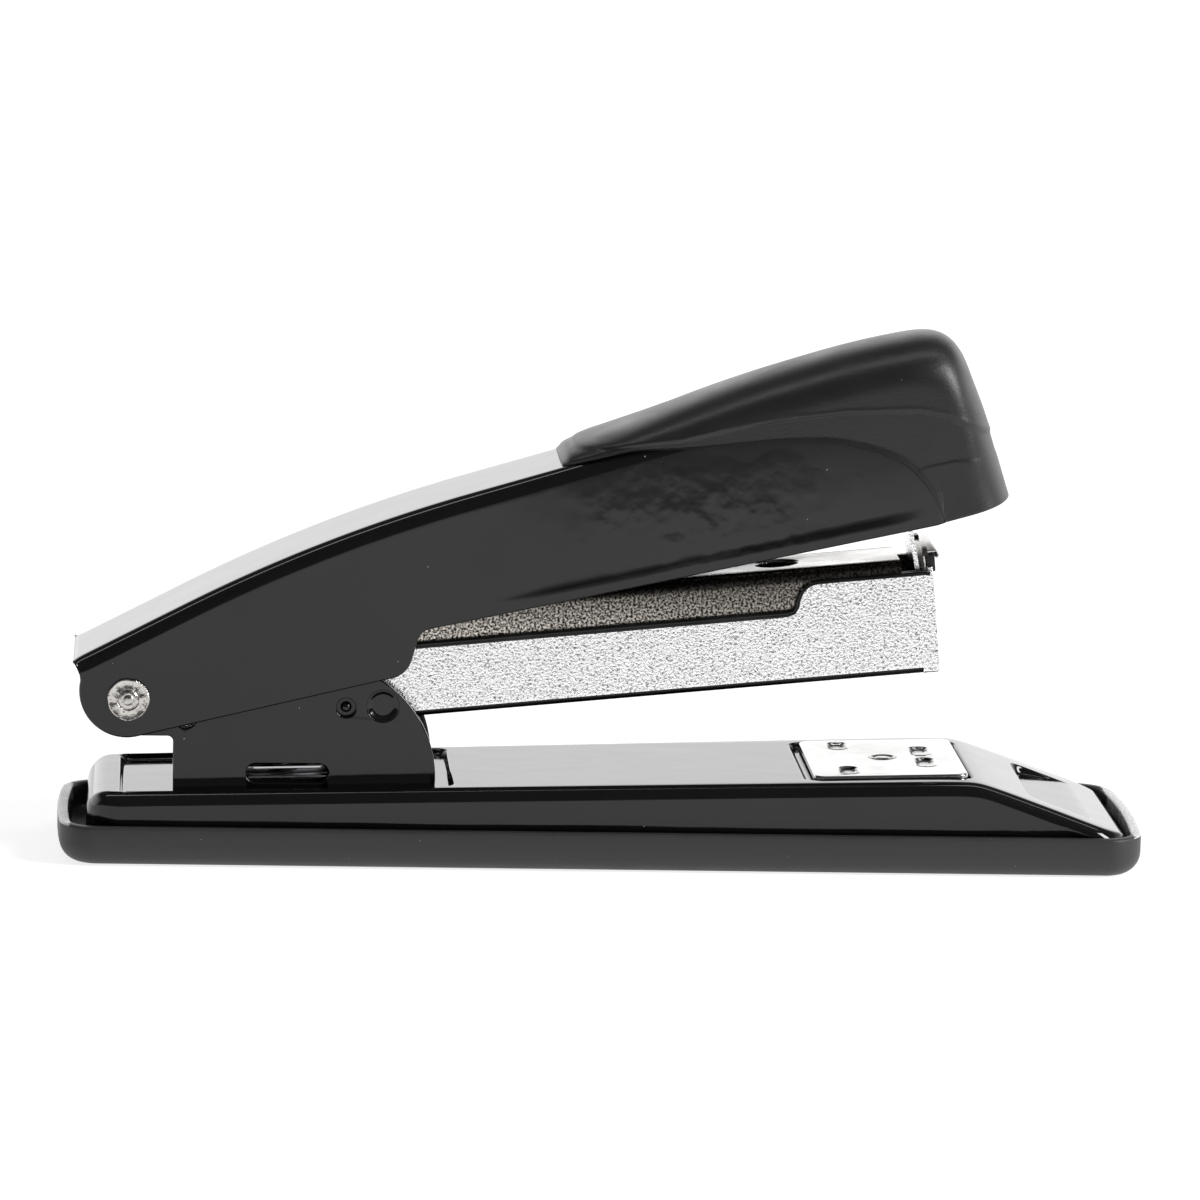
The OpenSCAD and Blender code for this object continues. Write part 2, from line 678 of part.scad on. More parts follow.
module handle_shell() color("#1b1b1c") centred() difference() {
    intersection() {
        along_handle() {
            handle_wall(0);
            handle_wall(press_gap);
        }
        across(-big, big) handle_side();
    }
    translate([pin_x, big / 2, pin_z]) rotate([90, 0, 0]) cylinder(h = big, r = pin_d / 2 + running_gap);
    roof_holes(concat(cap_rivet_x, mount_rivet_x), roof_rivet_r);
}

// Outer form of the cap: a hood that rises to a ridge and falls to a sloping front
module cap_form(inset) hull() for (side = [-1, 1]) {
    for (ball = cap_balls)
        translate([ball[0], side * ball[1], ball[2]]) sphere(r = ball[3] - inset, $fn = 32);
    translate([cap_front[0], side * cap_front[1], cap_front[2]])
        cylinder(h = 4, r1 = cap_front_r - inset, r2 = cap_front_r - 0.1 - inset, $fn = 32);
}

// The cap's lower edge: along the handle's top edge, down the side and forward under the nose
cap_edge = concat([[-60, 30], [-9, 53.6], [2.1, 56.6]], [[12, 57.3], [22.8, 58.1]],
    arc_points(30, 45, 13.2, 88, 20, 8), [[44.9, 47.4], [60, 50.7], [60, 0]]);

module nose_cap() color("#2b2b2c") centred() {
    difference() {
        cap_form(0);
        cap_form(cap_wall);
        intersection() {
            along_handle() {
                handle_section(-press_gap);
                handle_section(-2 * press_gap);
            }
            across(-big, big) handle_side();
        }
        across(-big, big) polygon(concat([[-60, 0]], cap_edge));
    }
    difference() {
        for (i = [0, 1]) on_roof(cap_rivet_x[i])
            translate([0, 0, press_gap]) cylinder(h = cap_boss_h[i], r = cap_boss_r);
        roof_holes(cap_rivet_x, roof_rivet_r);
    }
}

// Rivets from inside the handle into the bosses of the cap
module cap_rivets() color("silver") centred() for (x = cap_rivet_x) on_roof(x) {
    translate([0, 0, -handle_sheet - cap_head_h]) cylinder(h = cap_head_h - press_gap, r = cap_head_r);
    translate([0, 0, -handle_sheet - cap_head_h / 2])
        cylinder(h = cap_shank_l, r = roof_rivet_r - press_gap);
}

// The frame in which the driver stands upright: the magazine's, turned back by the stroke
module on_driver() on_pin(magazine_tilt + press_stroke) children();

module driver_holes(r) for (side = [-1, 1])
    translate([blade_x - 3, side * driver_rivet_y, driver_rivet_z])
        rotate([0, 90, 0]) cylinder(h = 6, r = r);

module driver_blade() color("#dcdcdc") centred() on_driver() difference() {
    translate([blade_x, -blade_half_w, blade_tip_z])
        cube([blade_sheet, 2 * blade_half_w, blade_top_z - blade_tip_z]);
    driver_holes(driver_rivet_r);
}

// Folded steel bracket under the handle's roof that carries the driver
module driver_mount() color("#a8a8a5") centred() {
    difference() {
        on_driver() difference() {
            translate([blade_x - mount_sheet - press_gap, -mount_wall_half_w, mount_low_z])
                cube([mount_sheet, 2 * mount_wall_half_w, 12]);
            driver_holes(driver_rivet_r);
        }
        on_roof(mount_rivet_x[0]) translate([-big / 2, -big / 2, -handle_sheet - mount_sheet / 2])
            cube([big, big, big]);
    }
    difference() {
        on_roof(mount_rivet_x[0]) translate([-3, -mount_half_w, -handle_sheet - mount_sheet])
            cube([mount_l, 2 * mount_half_w, mount_sheet - press_gap]);
        roof_holes(mount_rivet_x, roof_rivet_r);
    }
}

module mount_rivets() color("silver") centred() for (x = mount_rivet_x) on_roof(x)
    translate([0, 0, -handle_sheet - mount_sheet - press_gap])
        rivet(roof_rivet_r, 2, 0.6, handle_sheet + mount_sheet + 3 * press_gap);

module driver_rivets() color("silver") centred() on_driver() for (side = [-1, 1])
    translate([blade_x - mount_sheet - 2 * press_gap, side * driver_rivet_y, driver_rivet_z])
        rotate([0, 90, 0]) rivet(driver_rivet_r, 1.8, 0.6, mount_sheet + blade_sheet + 4 * press_gap);

rubber_sole();
base_shell();
hinge_bracket();
bracket_rivets();
detent_pins();
lift_spring();
hinge_pin();
pin_washers();
anvil_plate();
anvil_button();
anvil_spring();
magazine_channel();
front_plate();
front_hook();
staple_rail();
rail_rivets();
guide_rod();
rod_clips();
pusher_spring();
staple_strip();
pusher();
magazine_cover();
handle_spring();
spring_rivets();
handle_shell();
nose_cap();
cap_rivets();
driver_mount();
mount_rivets();
driver_blade();
driver_rivets();
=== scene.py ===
import math

import bmesh
import bpy
import numpy as np
from mathutils import Matrix, Vector


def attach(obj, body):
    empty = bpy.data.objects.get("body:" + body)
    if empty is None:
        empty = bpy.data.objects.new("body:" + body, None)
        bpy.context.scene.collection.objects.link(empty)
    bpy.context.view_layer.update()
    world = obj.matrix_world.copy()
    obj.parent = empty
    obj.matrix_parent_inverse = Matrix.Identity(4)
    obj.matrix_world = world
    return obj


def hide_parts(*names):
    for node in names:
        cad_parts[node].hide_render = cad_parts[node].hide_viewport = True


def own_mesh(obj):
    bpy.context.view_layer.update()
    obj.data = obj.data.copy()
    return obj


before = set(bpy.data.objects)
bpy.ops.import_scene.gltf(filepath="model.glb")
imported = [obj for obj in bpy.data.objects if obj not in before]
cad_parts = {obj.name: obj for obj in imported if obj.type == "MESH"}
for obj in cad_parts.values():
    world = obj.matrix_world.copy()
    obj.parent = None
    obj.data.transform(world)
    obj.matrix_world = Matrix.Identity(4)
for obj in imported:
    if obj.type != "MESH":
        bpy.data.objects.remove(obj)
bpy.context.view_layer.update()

# Lengths are in millimetres until a piece is made; MM turns them into metres.
MM = 0.001
MIDDLE_X = -0.9                     # the sole's middle, in the frame that the pieces are drawn in
PIN_X, PIN_Z = -65.4, 22.0
TILT = math.radians(5.5)            # of the resting magazine
ALONG_MAGAZINE = (math.cos(TILT), 0, math.sin(TILT))
ACROSS_MAGAZINE = (-math.sin(TILT), 0, math.cos(TILT))
BASE_SLOPE = math.radians(1.46)

# The handle's back: a straight tail, a long bend and a straight nose
BACK_R = 219.0
TAIL_X, TAIL_Z, TAIL_SLOPE = -58, 34.8, math.radians(27.5)
NOSE_SLOPE = math.radians(16.5)
BEND_X = TAIL_X + BACK_R * math.sin(TAIL_SLOPE)
BEND_Z = TAIL_Z - BACK_R * math.cos(TAIL_SLOPE)
NOSE_X = BEND_X - BACK_R * math.sin(NOSE_SLOPE)
NOSE_Z = BEND_Z + BACK_R * math.cos(NOSE_SLOPE)


# ---------------------------------------------------------------- frames and curves

def metres(points):
    """Points of the drawing, in millimetres, as points of the row frame, in metres."""
    return [Vector((v[0] - MIDDLE_X, v[1], v[2])) * MM for v in points]


def place(x, z, slope):
    """Matrix of a frame at x, z whose X axis is turned up by the slope."""
    return Matrix.Translation((x, 0, z)) @ Matrix.Rotation(-slope, 4, "Y")


MAGAZINE = place(PIN_X, PIN_Z, TILT)


def base_top(x):
    """Height of the base's gently rising top."""
    return 9.9 + (x + 62.0) * math.tan(BASE_SLOPE)


def handle_top(x):
    """Height of the handle's back."""
    if x < TAIL_X:
        return TAIL_Z + (x - TAIL_X) * math.tan(TAIL_SLOPE)
    if x < NOSE_X:
        return BEND_Z + math.sqrt(BACK_R ** 2 - (x - BEND_X) ** 2)
    return NOSE_Z + (x - NOSE_X) * math.tan(NOSE_SLOPE)


def arc(cx, cz, r, start, end, n):
    """Points on a circle from one angle to another, in degrees."""
    return [(cx + r * math.cos(a), cz + r * math.sin(a)) for a in np.radians(np.linspace(start, end, n + 1))]


def circle(cx, cz, r, n=32):
    return arc(cx, cz, r, 0, 360, n)[:-1]


def stadium(length, width, n=12):
    """A slot with round ends, centred, long along its second axis."""
    r, h = width / 2, (length - width) / 2
    return arc(0, h, r, 0, 180, n) + arc(0, -h, r, 180, 360, n)


def between(a, b, shares):
    """Points on the line from a to b."""
    return [(a[0] + (b[0] - a[0]) * k, a[1] + (b[1] - a[1]) * k) for k in shares]


def at_height(ring, z):
    return [(x, y, z) for x, y in ring]


def catmull_rom(a, b, c, d, t):
    """A point between b and c on the smooth curve through a, b, c and d."""
    return 0.5 * (2 * b + (c - a) * t + (2 * a - 5 * b + 4 * c - d) * t * t
                  + (3 * b - a - 3 * c + d) * t ** 3)


def spline(points, n):
    """A smooth curve through the points, as n points at even distances."""
    p = np.array(points, float)
    p = np.vstack([2 * p[0] - p[1], p, 2 * p[-1] - p[-2]])
    shares = np.linspace(0, 1, 24, endpoint=False)
    out = [catmull_rom(*p[i:i + 4], t) for i in range(len(points) - 1) for t in shares]
    return resample(out + [p[-2]], n)


def lengths_along(p):
    """How far along the polyline p each of its points lies."""
    return np.concatenate([[0], np.cumsum(np.linalg.norm(np.diff(p, axis=0), axis=1))])


def resample(p, n):
    """The polyline p as n points at even distances."""
    p = np.array(p, float)
    s = lengths_along(p)
    at = np.linspace(0, s[-1], n)
    return np.stack([np.interp(at, s, column) for column in p.T], 1)


def fillet(points, radii, n=6):
    """A closed polygon with its corners rounded."""
    p, out = [np.array(q, float) for q in points], []
    for i, (q, r) in enumerate(zip(p, radii)):
        if r <= 0:
            out.append(tuple(q))
            continue
        a, b = p[i - 1] - q, p[(i + 1) % len(p)] - q
        a, b = a / np.linalg.norm(a), b / np.linalg.norm(b)
        half = math.acos(max(-1.0, min(1.0, float(a @ b)))) / 2
        cut = r / math.tan(half)
        middle = (a + b) / np.linalg.norm(a + b) * (r / math.sin(half))
        first, last = a * cut - middle, b * cut - middle
        start = math.atan2(first[1], first[0])
        turn = (math.atan2(last[1], last[0]) - start + math.pi) % (2 * math.pi) - math.pi
        out += arc(*(q + middle), r, math.degrees(start), math.degrees(start + turn), n)
    return out


def cluster(low, high, marks, coarse, fine, reach):
    """Positions from low to high, close together near each mark and far apart elsewhere."""
    out, x = [low], low
    while x < high:
        near = min(abs(x - m) for m in marks)
        x += fine if near < reach else min(coarse, fine + (near - reach) * 0.5)
        out.append(min(x, high))
    return out


def smooth(a, b, x):
    """0 at a and 1 at b, with a soft start and end."""
    t = np.clip((x - a) / (b - a), 0, 1)
    return t * t * (3 - 2 * t)


def wave(x, seed, scale):
    """Gentle unevenness between -1 and 1 along x."""
    return sum(math.sin(x / scale * k + seed * 7.1 * k) / k for k in (1, 2.3, 3.9, 6.1)) / 1.9


# ---------------------------------------------------------------- mesh building

def centre_and_normal(verts, face):
    """Middle and unit normal of a face (Newell's method)."""
    p = np.array([verts[i][:3] for i in face], float)
    n = np.cross(p, np.roll(p, -1, axis=0)).sum(axis=0)
    return p.mean(axis=0), n / max(float(np.linalg.norm(n)), 1e-12)


class Form:
    """Vertices and faces of one piece, in millimetres in the row frame, and each face's material slot."""

    def __init__(self):
        self.verts, self.faces, self.slots = [], [], []

    def add(self, verts, faces, at=None, slot=0, other=None):
        """Adds a shape; other(centre, normal) picks the faces that take the second material."""
        first = len(self.verts)
        for v in verts:
            v = Vector((float(v[0]), float(v[1]), float(v[2])))
            self.verts.append(at @ v if at is not None else v)
        self.faces += [[first + i for i in f] for f in faces]
        self.slots += [int(other(*centre_and_normal(verts, f))) if other else slot for f in faces]
        return self

    def add_both(self, verts, faces, at=None, slot=0, other=None):
        """The same shape on both sides of the XZ plane."""
        self.add(verts, faces, at, slot, other)
        placed, slots = self.verts[-len(verts):], self.slots[-len(faces):]
        self.add([(x, -y, z) for x, y, z in placed], [list(reversed(f)) for f in faces])
        self.slots[-len(faces):] = slots
        return self


def grid_faces(rows, columns, wrap=False):
    """The four-sided faces of a grid of vertices; wrap joins its last column to its first."""
    faces = []
    for i in range(rows - 1):
        for j in range(columns if wrap else columns - 1):
            k = (j + 1) % columns
            faces.append([i * columns + j, i * columns + k, (i + 1) * columns + k, (i + 1) * columns + j])
    return faces


def loft(rings, caps=True):
    """A skin over closed rings that have the same number of points."""
    n = len(rings[0])
    verts = [tuple(p) for ring in rings for p in ring]
    faces = grid_faces(len(rings), n, wrap=True)
    if caps:
        faces += [list(range(n - 1, -1, -1)), [(len(rings) - 1) * n + i for i in range(n)]]
    return verts, faces


def shell(outer, inner, bulge):
    """A closed sheet between two grids of points, with edges that bulge outwards all round."""
    outer, inner = np.array(outer, float), np.array(inner, float)
    rows, columns = outer.shape[:2]
    count, steps = rows * columns, 4
    verts = list(outer.reshape(-1, 3)) + list(inner.reshape(-1, 3))
    faces = grid_faces(rows, columns)
    faces += [[count + i for i in reversed(f)] for f in faces]
    last_row, last_column = rows - 1, columns - 1
    border = [(i, 0) for i in range(last_row)] + [(last_row, j) for j in range(last_column)]
    border += [(i, last_column) for i in range(last_row, 0, -1)]
    border += [(0, j) for j in range(last_column, 0, -1)]
    strips = []
    for i, j in border:
        a, b = outer[i, j], inner[i, j]
        inwards = min(max(i, 1), last_row - 1), min(max(j, 1), last_column - 1)
        out = a - outer[inwards] + b - inner[inwards]
        length = np.linalg.norm(out)
        out = out / length if length > 1e-9 else out * 0
        at = i * columns + j
        strips.append([at] + [len(verts) + k for k in range(steps - 1)] + [count + at])
        for s in (math.pi * k / steps for k in range(1, steps)):
            verts.append(a + (b - a) * (1 - math.cos(s)) / 2 + out * bulge * math.sin(s))
    for a, b in zip(strips, strips[1:] + strips[:1]):
        faces += [[a[k], b[k], b[k + 1], a[k + 1]] for k in range(steps)]
    return verts, faces


def lathe(profile, n=48, closed=True):
    """A profile of radius and height turned about the Z axis; radius 0 closes it."""
    verts, rings = [], []
    for r, h in profile:
        if r < 1e-6:
            rings.append([len(verts)] * n)
            verts.append((0, 0, h))
        else:
            rings.append([len(verts) + i for i in range(n)])
            verts += at_height(circle(0, 0, r, n), h)
    faces = []
    for a, b in zip(rings, rings[1:] + rings[:1] if closed else rings[1:]):
        for i in range(n):
            k = (i + 1) % n
            corners = list(dict.fromkeys((a[i], a[k], b[k], b[i])))
            if len(corners) > 2:
                faces.append(corners)
    return verts, faces


def tube(path, radius, n):
    """A round bar along a path of 3-D points, with slightly domed ends."""
    path = [Vector(p) for p in path]
    tangents = [(b - a).normalized() for a, b in zip(path, path[1:])]
    tangents.append(tangents[-1])
    side = tangents[0].orthogonal().normalized()
    rings = []
    for i, p in enumerate(path):
        t = (tangents[i] + tangents[max(i - 1, 0)]).normalized()
        side = (side - t * side.dot(t)).normalized()
        up = t.cross(side)
        rings.append([p + side * x + up * y for x, y in circle(0, 0, radius, n)])

    def dome(index, outwards):
        return [[path[index] + outwards * radius * rise + (q - path[index]) * share for q in rings[index]]
                for rise, share in ((0.35, 0.75), (0.5, 0.3))]

    return loft(dome(0, -tangents[0])[::-1] + rings + dome(-1, tangents[-1]))


def ribbon(line, thickness, half_w, edge):
    """A flat spring bent along a line of X and Z, with rounded long edges."""
    line = np.array(line, float)
    t = np.gradient(line, axis=0)
    t /= np.linalg.norm(t, axis=1)[:, None]
    section = fillet([(-half_w, 0), (half_w, 0), (half_w, thickness), (-half_w, thickness)], [edge] * 4, 3)
    return loft([[(x - tz * h, y, z + tx * h) for y, h in section] for (x, z), (tx, tz) in zip(line, t)])


def filled(loops):
    """A mesh of triangles between an outline and its holes, which are loops of 3-D points."""
    bm = bmesh.new()
    edges = []
    for loop in loops:
        vs = [bm.verts.new(p) for p in loop]
        edges += [bm.edges.new((a, b)) for a, b in zip(vs, vs[1:] + vs[:1])]
    bmesh.ops.triangle_fill(bm, use_beauty=True, use_dissolve=False, edges=edges)
    return bm


def taken(bm):
    """The mesh's vertices and faces; the mesh itself is freed."""
    bm.verts.index_update()
    verts, faces = [tuple(v.co) for v in bm.verts], [[v.index for v in f.verts] for f in bm.faces]
    bm.free()
    return verts, faces


def plate(outline, holes, low, high, bevel, segments=3, soft=None):
    """A flat plate with holes: its outline is in X and Z, and it reaches from y = low to y = high."""
    bm = filled([[(x, low, z) for x, z in loop] for loop in [outline] + holes])
    made = bmesh.ops.extrude_face_region(bm, geom=bm.faces[:])
    bmesh.ops.translate(bm, verts=[g for g in made["geom"] if isinstance(g, bmesh.types.BMVert)],
                        vec=(0, high - low, 0))
    bmesh.ops.recalc_face_normals(bm, faces=bm.faces[:])
    rims = []
    for e in bm.edges:
        a, b = e.verts[0].co, e.verts[1].co
        if len(e.link_faces) == 2 and abs(a.y - b.y) < 1e-6 and e.calc_face_angle(0) > 1.0:
            if soft is None or soft((a.x + b.x) / 2, (a.z + b.z) / 2):
                rims.append(e)
    bmesh.ops.bevel(bm, geom=rims, offset=bevel, offset_type="OFFSET", segments=segments,
                    profile=0.5, affect="EDGES", clamp_overlap=True)
    return taken(bm)


def flat_plate(outline, holes, low, high, **options):
    """A plate whose outline is in X and Y, and which reaches from z = low to z = high."""
    verts, faces = plate(outline, holes, low, high, **options)
    return [(x, z, y) for x, y, z in verts], [list(reversed(f)) for f in faces]


def weld(form):
    """Joins vertices of the form that are at the same place."""
    bm = bmesh.new()
    vs = [bm.verts.new(v) for v in form.verts]
    for f, slot in zip(form.faces, form.slots):
        corners = [vs[i] for i in dict.fromkeys(f)]
        if len(corners) > 2 and bm.faces.get(corners) is None:
            bm.faces.new(corners).material_index = slot
    bmesh.ops.remove_doubles(bm, verts=bm.verts[:], dist=1e-4)
    slots = [f.material_index for f in bm.faces]
    out = Form().add(*taken(bm))
    out.slots = slots
    return out


def piece(name, form, materials, body, nodes, sharp=32, weighted=False):
    """Makes the object, puts it in place of its CAD nodes, and lets it ride on its body."""
    mesh = bpy.data.meshes.new(name)
    mesh.from_pydata(metres(form.verts), [], form.faces)
    mesh.polygons.foreach_set("material_index", form.slots)
    bm = bmesh.new()
    bm.from_mesh(mesh)
    bmesh.ops.dissolve_degenerate(bm, dist=1e-7, edges=bm.edges[:])
    bmesh.ops.recalc_face_normals(bm, faces=bm.faces[:])
    bm.to_mesh(mesh)
    bm.free()
    for m in materials if isinstance(materials, list) else [materials]:
        mesh.materials.append(m)
    mesh.shade_smooth()
    mesh.set_sharp_from_angle(angle=math.radians(sharp))
    obj = bpy.data.objects.new(name, mesh)
    bpy.context.scene.collection.objects.link(obj)
    if weighted:
        m = obj.modifiers.new("flat_faces_stay_flat", "WEIGHTED_NORMAL")
        m.keep_sharp = True
        m.weight = 100
    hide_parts(*nodes)
    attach(obj, body)
    return obj


# ---------------------------------------------------------------- materials

def nodes_of(name):
    """A material with one shader: the material, its tree, the shader and the object's coordinates."""
    m = bpy.data.materials.new(name)
    m.use_nodes = True
    tree = m.node_tree
    tree.nodes.clear()
    out = tree.nodes.new("ShaderNodeOutputMaterial")
    shader = tree.nodes.new("ShaderNodeBsdfPrincipled")
    tree.links.new(shader.outputs[0], out.inputs[0])
    where = tree.nodes.new("ShaderNodeTexCoord").outputs["Object"]
    return m, tree, shader, where


def feed(tree, socket, value):
    """Links the value to the socket, or writes it there if it is a number or a colour."""
    if isinstance(value, bpy.types.NodeSocket):
        tree.links.new(value, socket)
    else:
        socket.default_value = value


def node(tree, kind, inputs, **settings):
    n = tree.nodes.new(kind)
    for key, value in settings.items():
        setattr(n, key, value)
    for key, value in inputs.items():
        feed(tree, n.inputs[key], value)
    return n


def noise(tree, where, size_mm, detail=2.0, rough=0.5, distortion=0.0):
    """Noise whose features are about size_mm across."""
    return node(tree, "ShaderNodeTexNoise", {"Vector": where, "Scale": 1000 / size_mm, "Detail": detail,
                                             "Roughness": rough, "Distortion": distortion}).outputs[0]


def ramp(tree, value, low, high, to_low=0.0, to_high=1.0):
    return node(tree, "ShaderNodeMapRange", {"Value": value, "From Min": low, "From Max": high,
                                             "To Min": to_low, "To Max": to_high}).outputs[0]


def maths(tree, kind, a, b):
    return node(tree, "ShaderNodeMath", {0: a, 1: b}, operation=kind).outputs[0]


def measure(tree, kind, a, b=(0, 0, 0)):
    """A number that a vector operation gives."""
    return node(tree, "ShaderNodeVectorMath", {0: a, 1: b}, operation=kind).outputs["Value"]


def bump(tree, height, depth_mm, before=None):
    inputs = {"Height": height, "Distance": depth_mm * MM, "Strength": 1.0}
    if before is not None:
        inputs["Normal"] = before
    return node(tree, "ShaderNodeBump", inputs).outputs[0]


def mix_colours(tree, factor, first, second):
    n = node(tree, "ShaderNodeMix", {}, data_type="RGBA")
    feed(tree, n.inputs["Factor"], factor)
    for key, value in (("A", first), ("B", second)):
        socket = [s for s in n.inputs if s.name == key and s.type == "RGBA"][0]
        feed(tree, socket, value if isinstance(value, bpy.types.NodeSocket) else (*value, 1))
    return [s for s in n.outputs if s.type == "RGBA"][0]


def connect(tree, shader, **sockets):
    names = {"colour": "Base Color", "rough": "Roughness", "normal": "Normal", "metal": "Metallic"}
    for key, value in sockets.items():
        feed(tree, shader.inputs[names[key]], value)


def specks(tree, where, spacing_mm, size):
    """1 on sparse little dots, such as dust, and 0 elsewhere."""
    cells = node(tree, "ShaderNodeTexVoronoi",
                 {"Vector": where, "Scale": 1000 / spacing_mm, "Randomness": 1.0})
    keep = node(tree, "ShaderNodeTexWhiteNoise", {"Vector": cells.outputs["Position"]},
                noise_dimensions="3D").outputs["Value"]
    return maths(tree, "MULTIPLY", ramp(tree, cells.outputs["Distance"], size, size * 0.5),
                 ramp(tree, keep, 0.72, 0.78))


PAINT_IOR = 1.45


def enamel(name, blister=False):
    """Gloss black stove enamel on steel: soft waves, a faint orange peel and a little dust."""
    m, tree, shader, where = nodes_of(name)
    dust = specks(tree, where, 2.6, 0.045)
    colour = mix_colours(tree, noise(tree, where, 14, 3), (0.0035, 0.0035, 0.0038), (0.0060, 0.0060, 0.0063))
    colour = mix_colours(tree, maths(tree, "MULTIPLY", dust, 0.5), colour, (0.55, 0.55, 0.55))
    normal = bump(tree, noise(tree, where, 7.0, 1.5), 0.03)
    normal = bump(tree, noise(tree, where, 0.9, 2.0), 0.0022, before=normal)
    if blister:
        # the paint on the flank below the cap is pitted and blistered
        centre = node(tree, "ShaderNodeVectorMath", {0: where, 1: (-0.0129, 0, -0.0475)},
                      operation="ADD").outputs[0]
        flat = node(tree, "ShaderNodeMapping", {"Vector": centre, "Scale": (38, 0, 95)}).outputs[0]
        ragged = maths(tree, "MULTIPLY", noise(tree, where, 9, 2), 0.9)
        patch = ramp(tree, maths(tree, "ADD", measure(tree, "LENGTH", flat), ragged), 1.35, 0.5)
        lumps = noise(tree, where, 2.9, 1.5, 0.5)
        normal = bump(tree, maths(tree, "MULTIPLY", patch, lumps), 0.15, before=normal)
    smudge = ramp(tree, noise(tree, where, 11, 4, 0.6), 0.35, 0.75, 0.06, 0.15)
    connect(tree, shader, colour=colour, normal=normal,
            rough=maths(tree, "ADD", smudge, maths(tree, "MULTIPLY", dust, 0.3)))
    shader.inputs["IOR"].default_value = PAINT_IOR
    return m


def grained_plastic(name, colour_a, colour_b, low, high, grain_mm, depth):
    """Moulded plastic or rubber with a fine spark-eroded grain."""
    m, tree, shader, where = nodes_of(name)
    cloud = noise(tree, where, 9, 4, 0.6)
    dust = specks(tree, where, 1.9, 0.05)
    colour = mix_colours(tree, cloud, colour_a, colour_b)
    colour = mix_colours(tree, maths(tree, "MULTIPLY", dust, 0.35), colour, (0.4, 0.4, 0.4))
    normal = bump(tree, noise(tree, where, grain_mm, 2.5, 0.6), depth)
    normal = bump(tree, noise(tree, where, 5, 2), 0.02, before=normal)
    connect(tree, shader, colour=colour, normal=normal, rough=ramp(tree, cloud, 0.3, 0.7, low, high))
    shader.inputs["IOR"].default_value = PAINT_IOR
    return m


def plated(name, colour_a, colour_b, low, high, grain_mm, depth, dirt=0.0, distortion=0.0):
    """Plated steel with a rolled grain, which may hold dirt."""
    m, tree, shader, where = nodes_of(name)
    grain = noise(tree, where, grain_mm, 2.0, 0.55, distortion)
    cloud = noise(tree, where, 8, 4, 0.6)
    colour = mix_colours(tree, cloud, colour_a, colour_b)
    if dirt > 0:
        held = maths(tree, "MULTIPLY", ramp(tree, grain, 0.54, 0.70), dirt)
        colour = mix_colours(tree, held, colour, (0.16, 0.15, 0.14))
    normal = bump(tree, grain, depth)
    normal = bump(tree, noise(tree, where, grain_mm * 0.4, 1.0, 0.5), depth * 0.3, before=normal)
    connect(tree, shader, colour=colour, normal=normal, metal=1.0,
            rough=ramp(tree, cloud, 0.3, 0.7, low, high))
    return m


def brushed_cover():
    """Grainy brown-grey zinc, with painted shade under the handle: darker towards the top of the cover's
    sides and towards its middle.
    """
    m, tree, shader, where = nodes_of("zinc_steel_side")
    grain = noise(tree, where, 0.32, 2.0, 0.6)
    height = measure(tree, "DOT_PRODUCT", where, ACROSS_MAGAZINE)
    reach = measure(tree, "DOT_PRODUCT", where, ALONG_MAGAZINE)
    pin = metres([(PIN_X, 0, PIN_Z)])[0]
    pin_height, pin_reach = pin.dot(Vector(ACROSS_MAGAZINE)), pin.dot(Vector(ALONG_MAGAZINE))
    # painted shade under the handle: darker towards the top of the sides and further along the cover
    shade = maths(tree, "MULTIPLY", ramp(tree, height, pin_height + 0.0078, pin_height + 0.0045, 0.42, 1.0),
                  ramp(tree, reach, pin_reach + 0.040, pin_reach + 0.085, 1.0, 0.50))
    grain_flecks_and_painted_shade = maths(tree, "MULTIPLY", ramp(tree, grain, 0.43, 0.59), shade)
    colour = mix_colours(tree, grain_flecks_and_painted_shade, (0.018, 0.016, 0.014), (0.76, 0.71, 0.64))
    connect(tree, shader, colour=colour, normal=bump(tree, grain, 0.03), metal=1.0,
            rough=ramp(tree, grain, 0.3, 0.7, 0.42, 0.24))
    return m


BLACK = enamel("black_enamel")
BLISTERED = enamel("black_enamel_blistered", blister=True)
# Darkest and lightest colour, least and most roughness, size of the grain and its depth in millimetres
CAP = grained_plastic("cap_plastic", (0.009, 0.009, 0.0095), (0.014, 0.014, 0.0145), 0.32, 0.42, 0.30, 0.030)
RUBBER = grained_plastic("sole_rubber", (0.022, 0.022, 0.023), (0.030, 0.030, 0.031), 0.42, 0.55, 0.3, 0.012)
RUBBER_LIP = grained_plastic("sole_rubber_lip", (0.3, 0.3, 0.3), (0.75, 0.75, 0.75), 0.16, 0.34, 0.4, 0.10)
CHROME = plated("bright_chrome", (0.86, 0.86, 0.87), (0.95, 0.95, 0.95), 0.10, 0.20, 0.34, 0.11, dirt=0.9,
                distortion=0.3)
# chrome painted dark: painted shade and painted dark reflections on the channel's top edge, hem and bend,
# and on the hook's tabs
CHROME_PAINTED_SHADE = plated("chrome_painted_shade", (0.015, 0.015, 0.015), (0.05, 0.05, 0.05), 0.25, 0.45, 0.25, 0.02)
ANVIL = plated("bright_chrome_anvil", (0.43, 0.425, 0.42), (0.52, 0.515, 0.51), 0.14, 0.26, 0.6, 0.004)
ZINC = plated("zinc_steel", (0.40, 0.38, 0.35), (0.52, 0.49, 0.45), 0.25, 0.40, 0.42, 0.02, dirt=0.5)
TIN = plated("zinc_steel_top", (0.58, 0.57, 0.55), (0.72, 0.71, 0.69), 0.22, 0.36, 0.5, 0.012)
COVER_SIDE = brushed_cover()
STEEL = plated("plain_steel", (0.52, 0.51, 0.50), (0.66, 0.65, 0.64), 0.20, 0.36, 0.35, 0.008)
PEENED = plated("peened_steel", (0.36, 0.34, 0.32), (0.78, 0.76, 0.73), 0.16, 0.36, 0.34, 0.060, dirt=0.9)
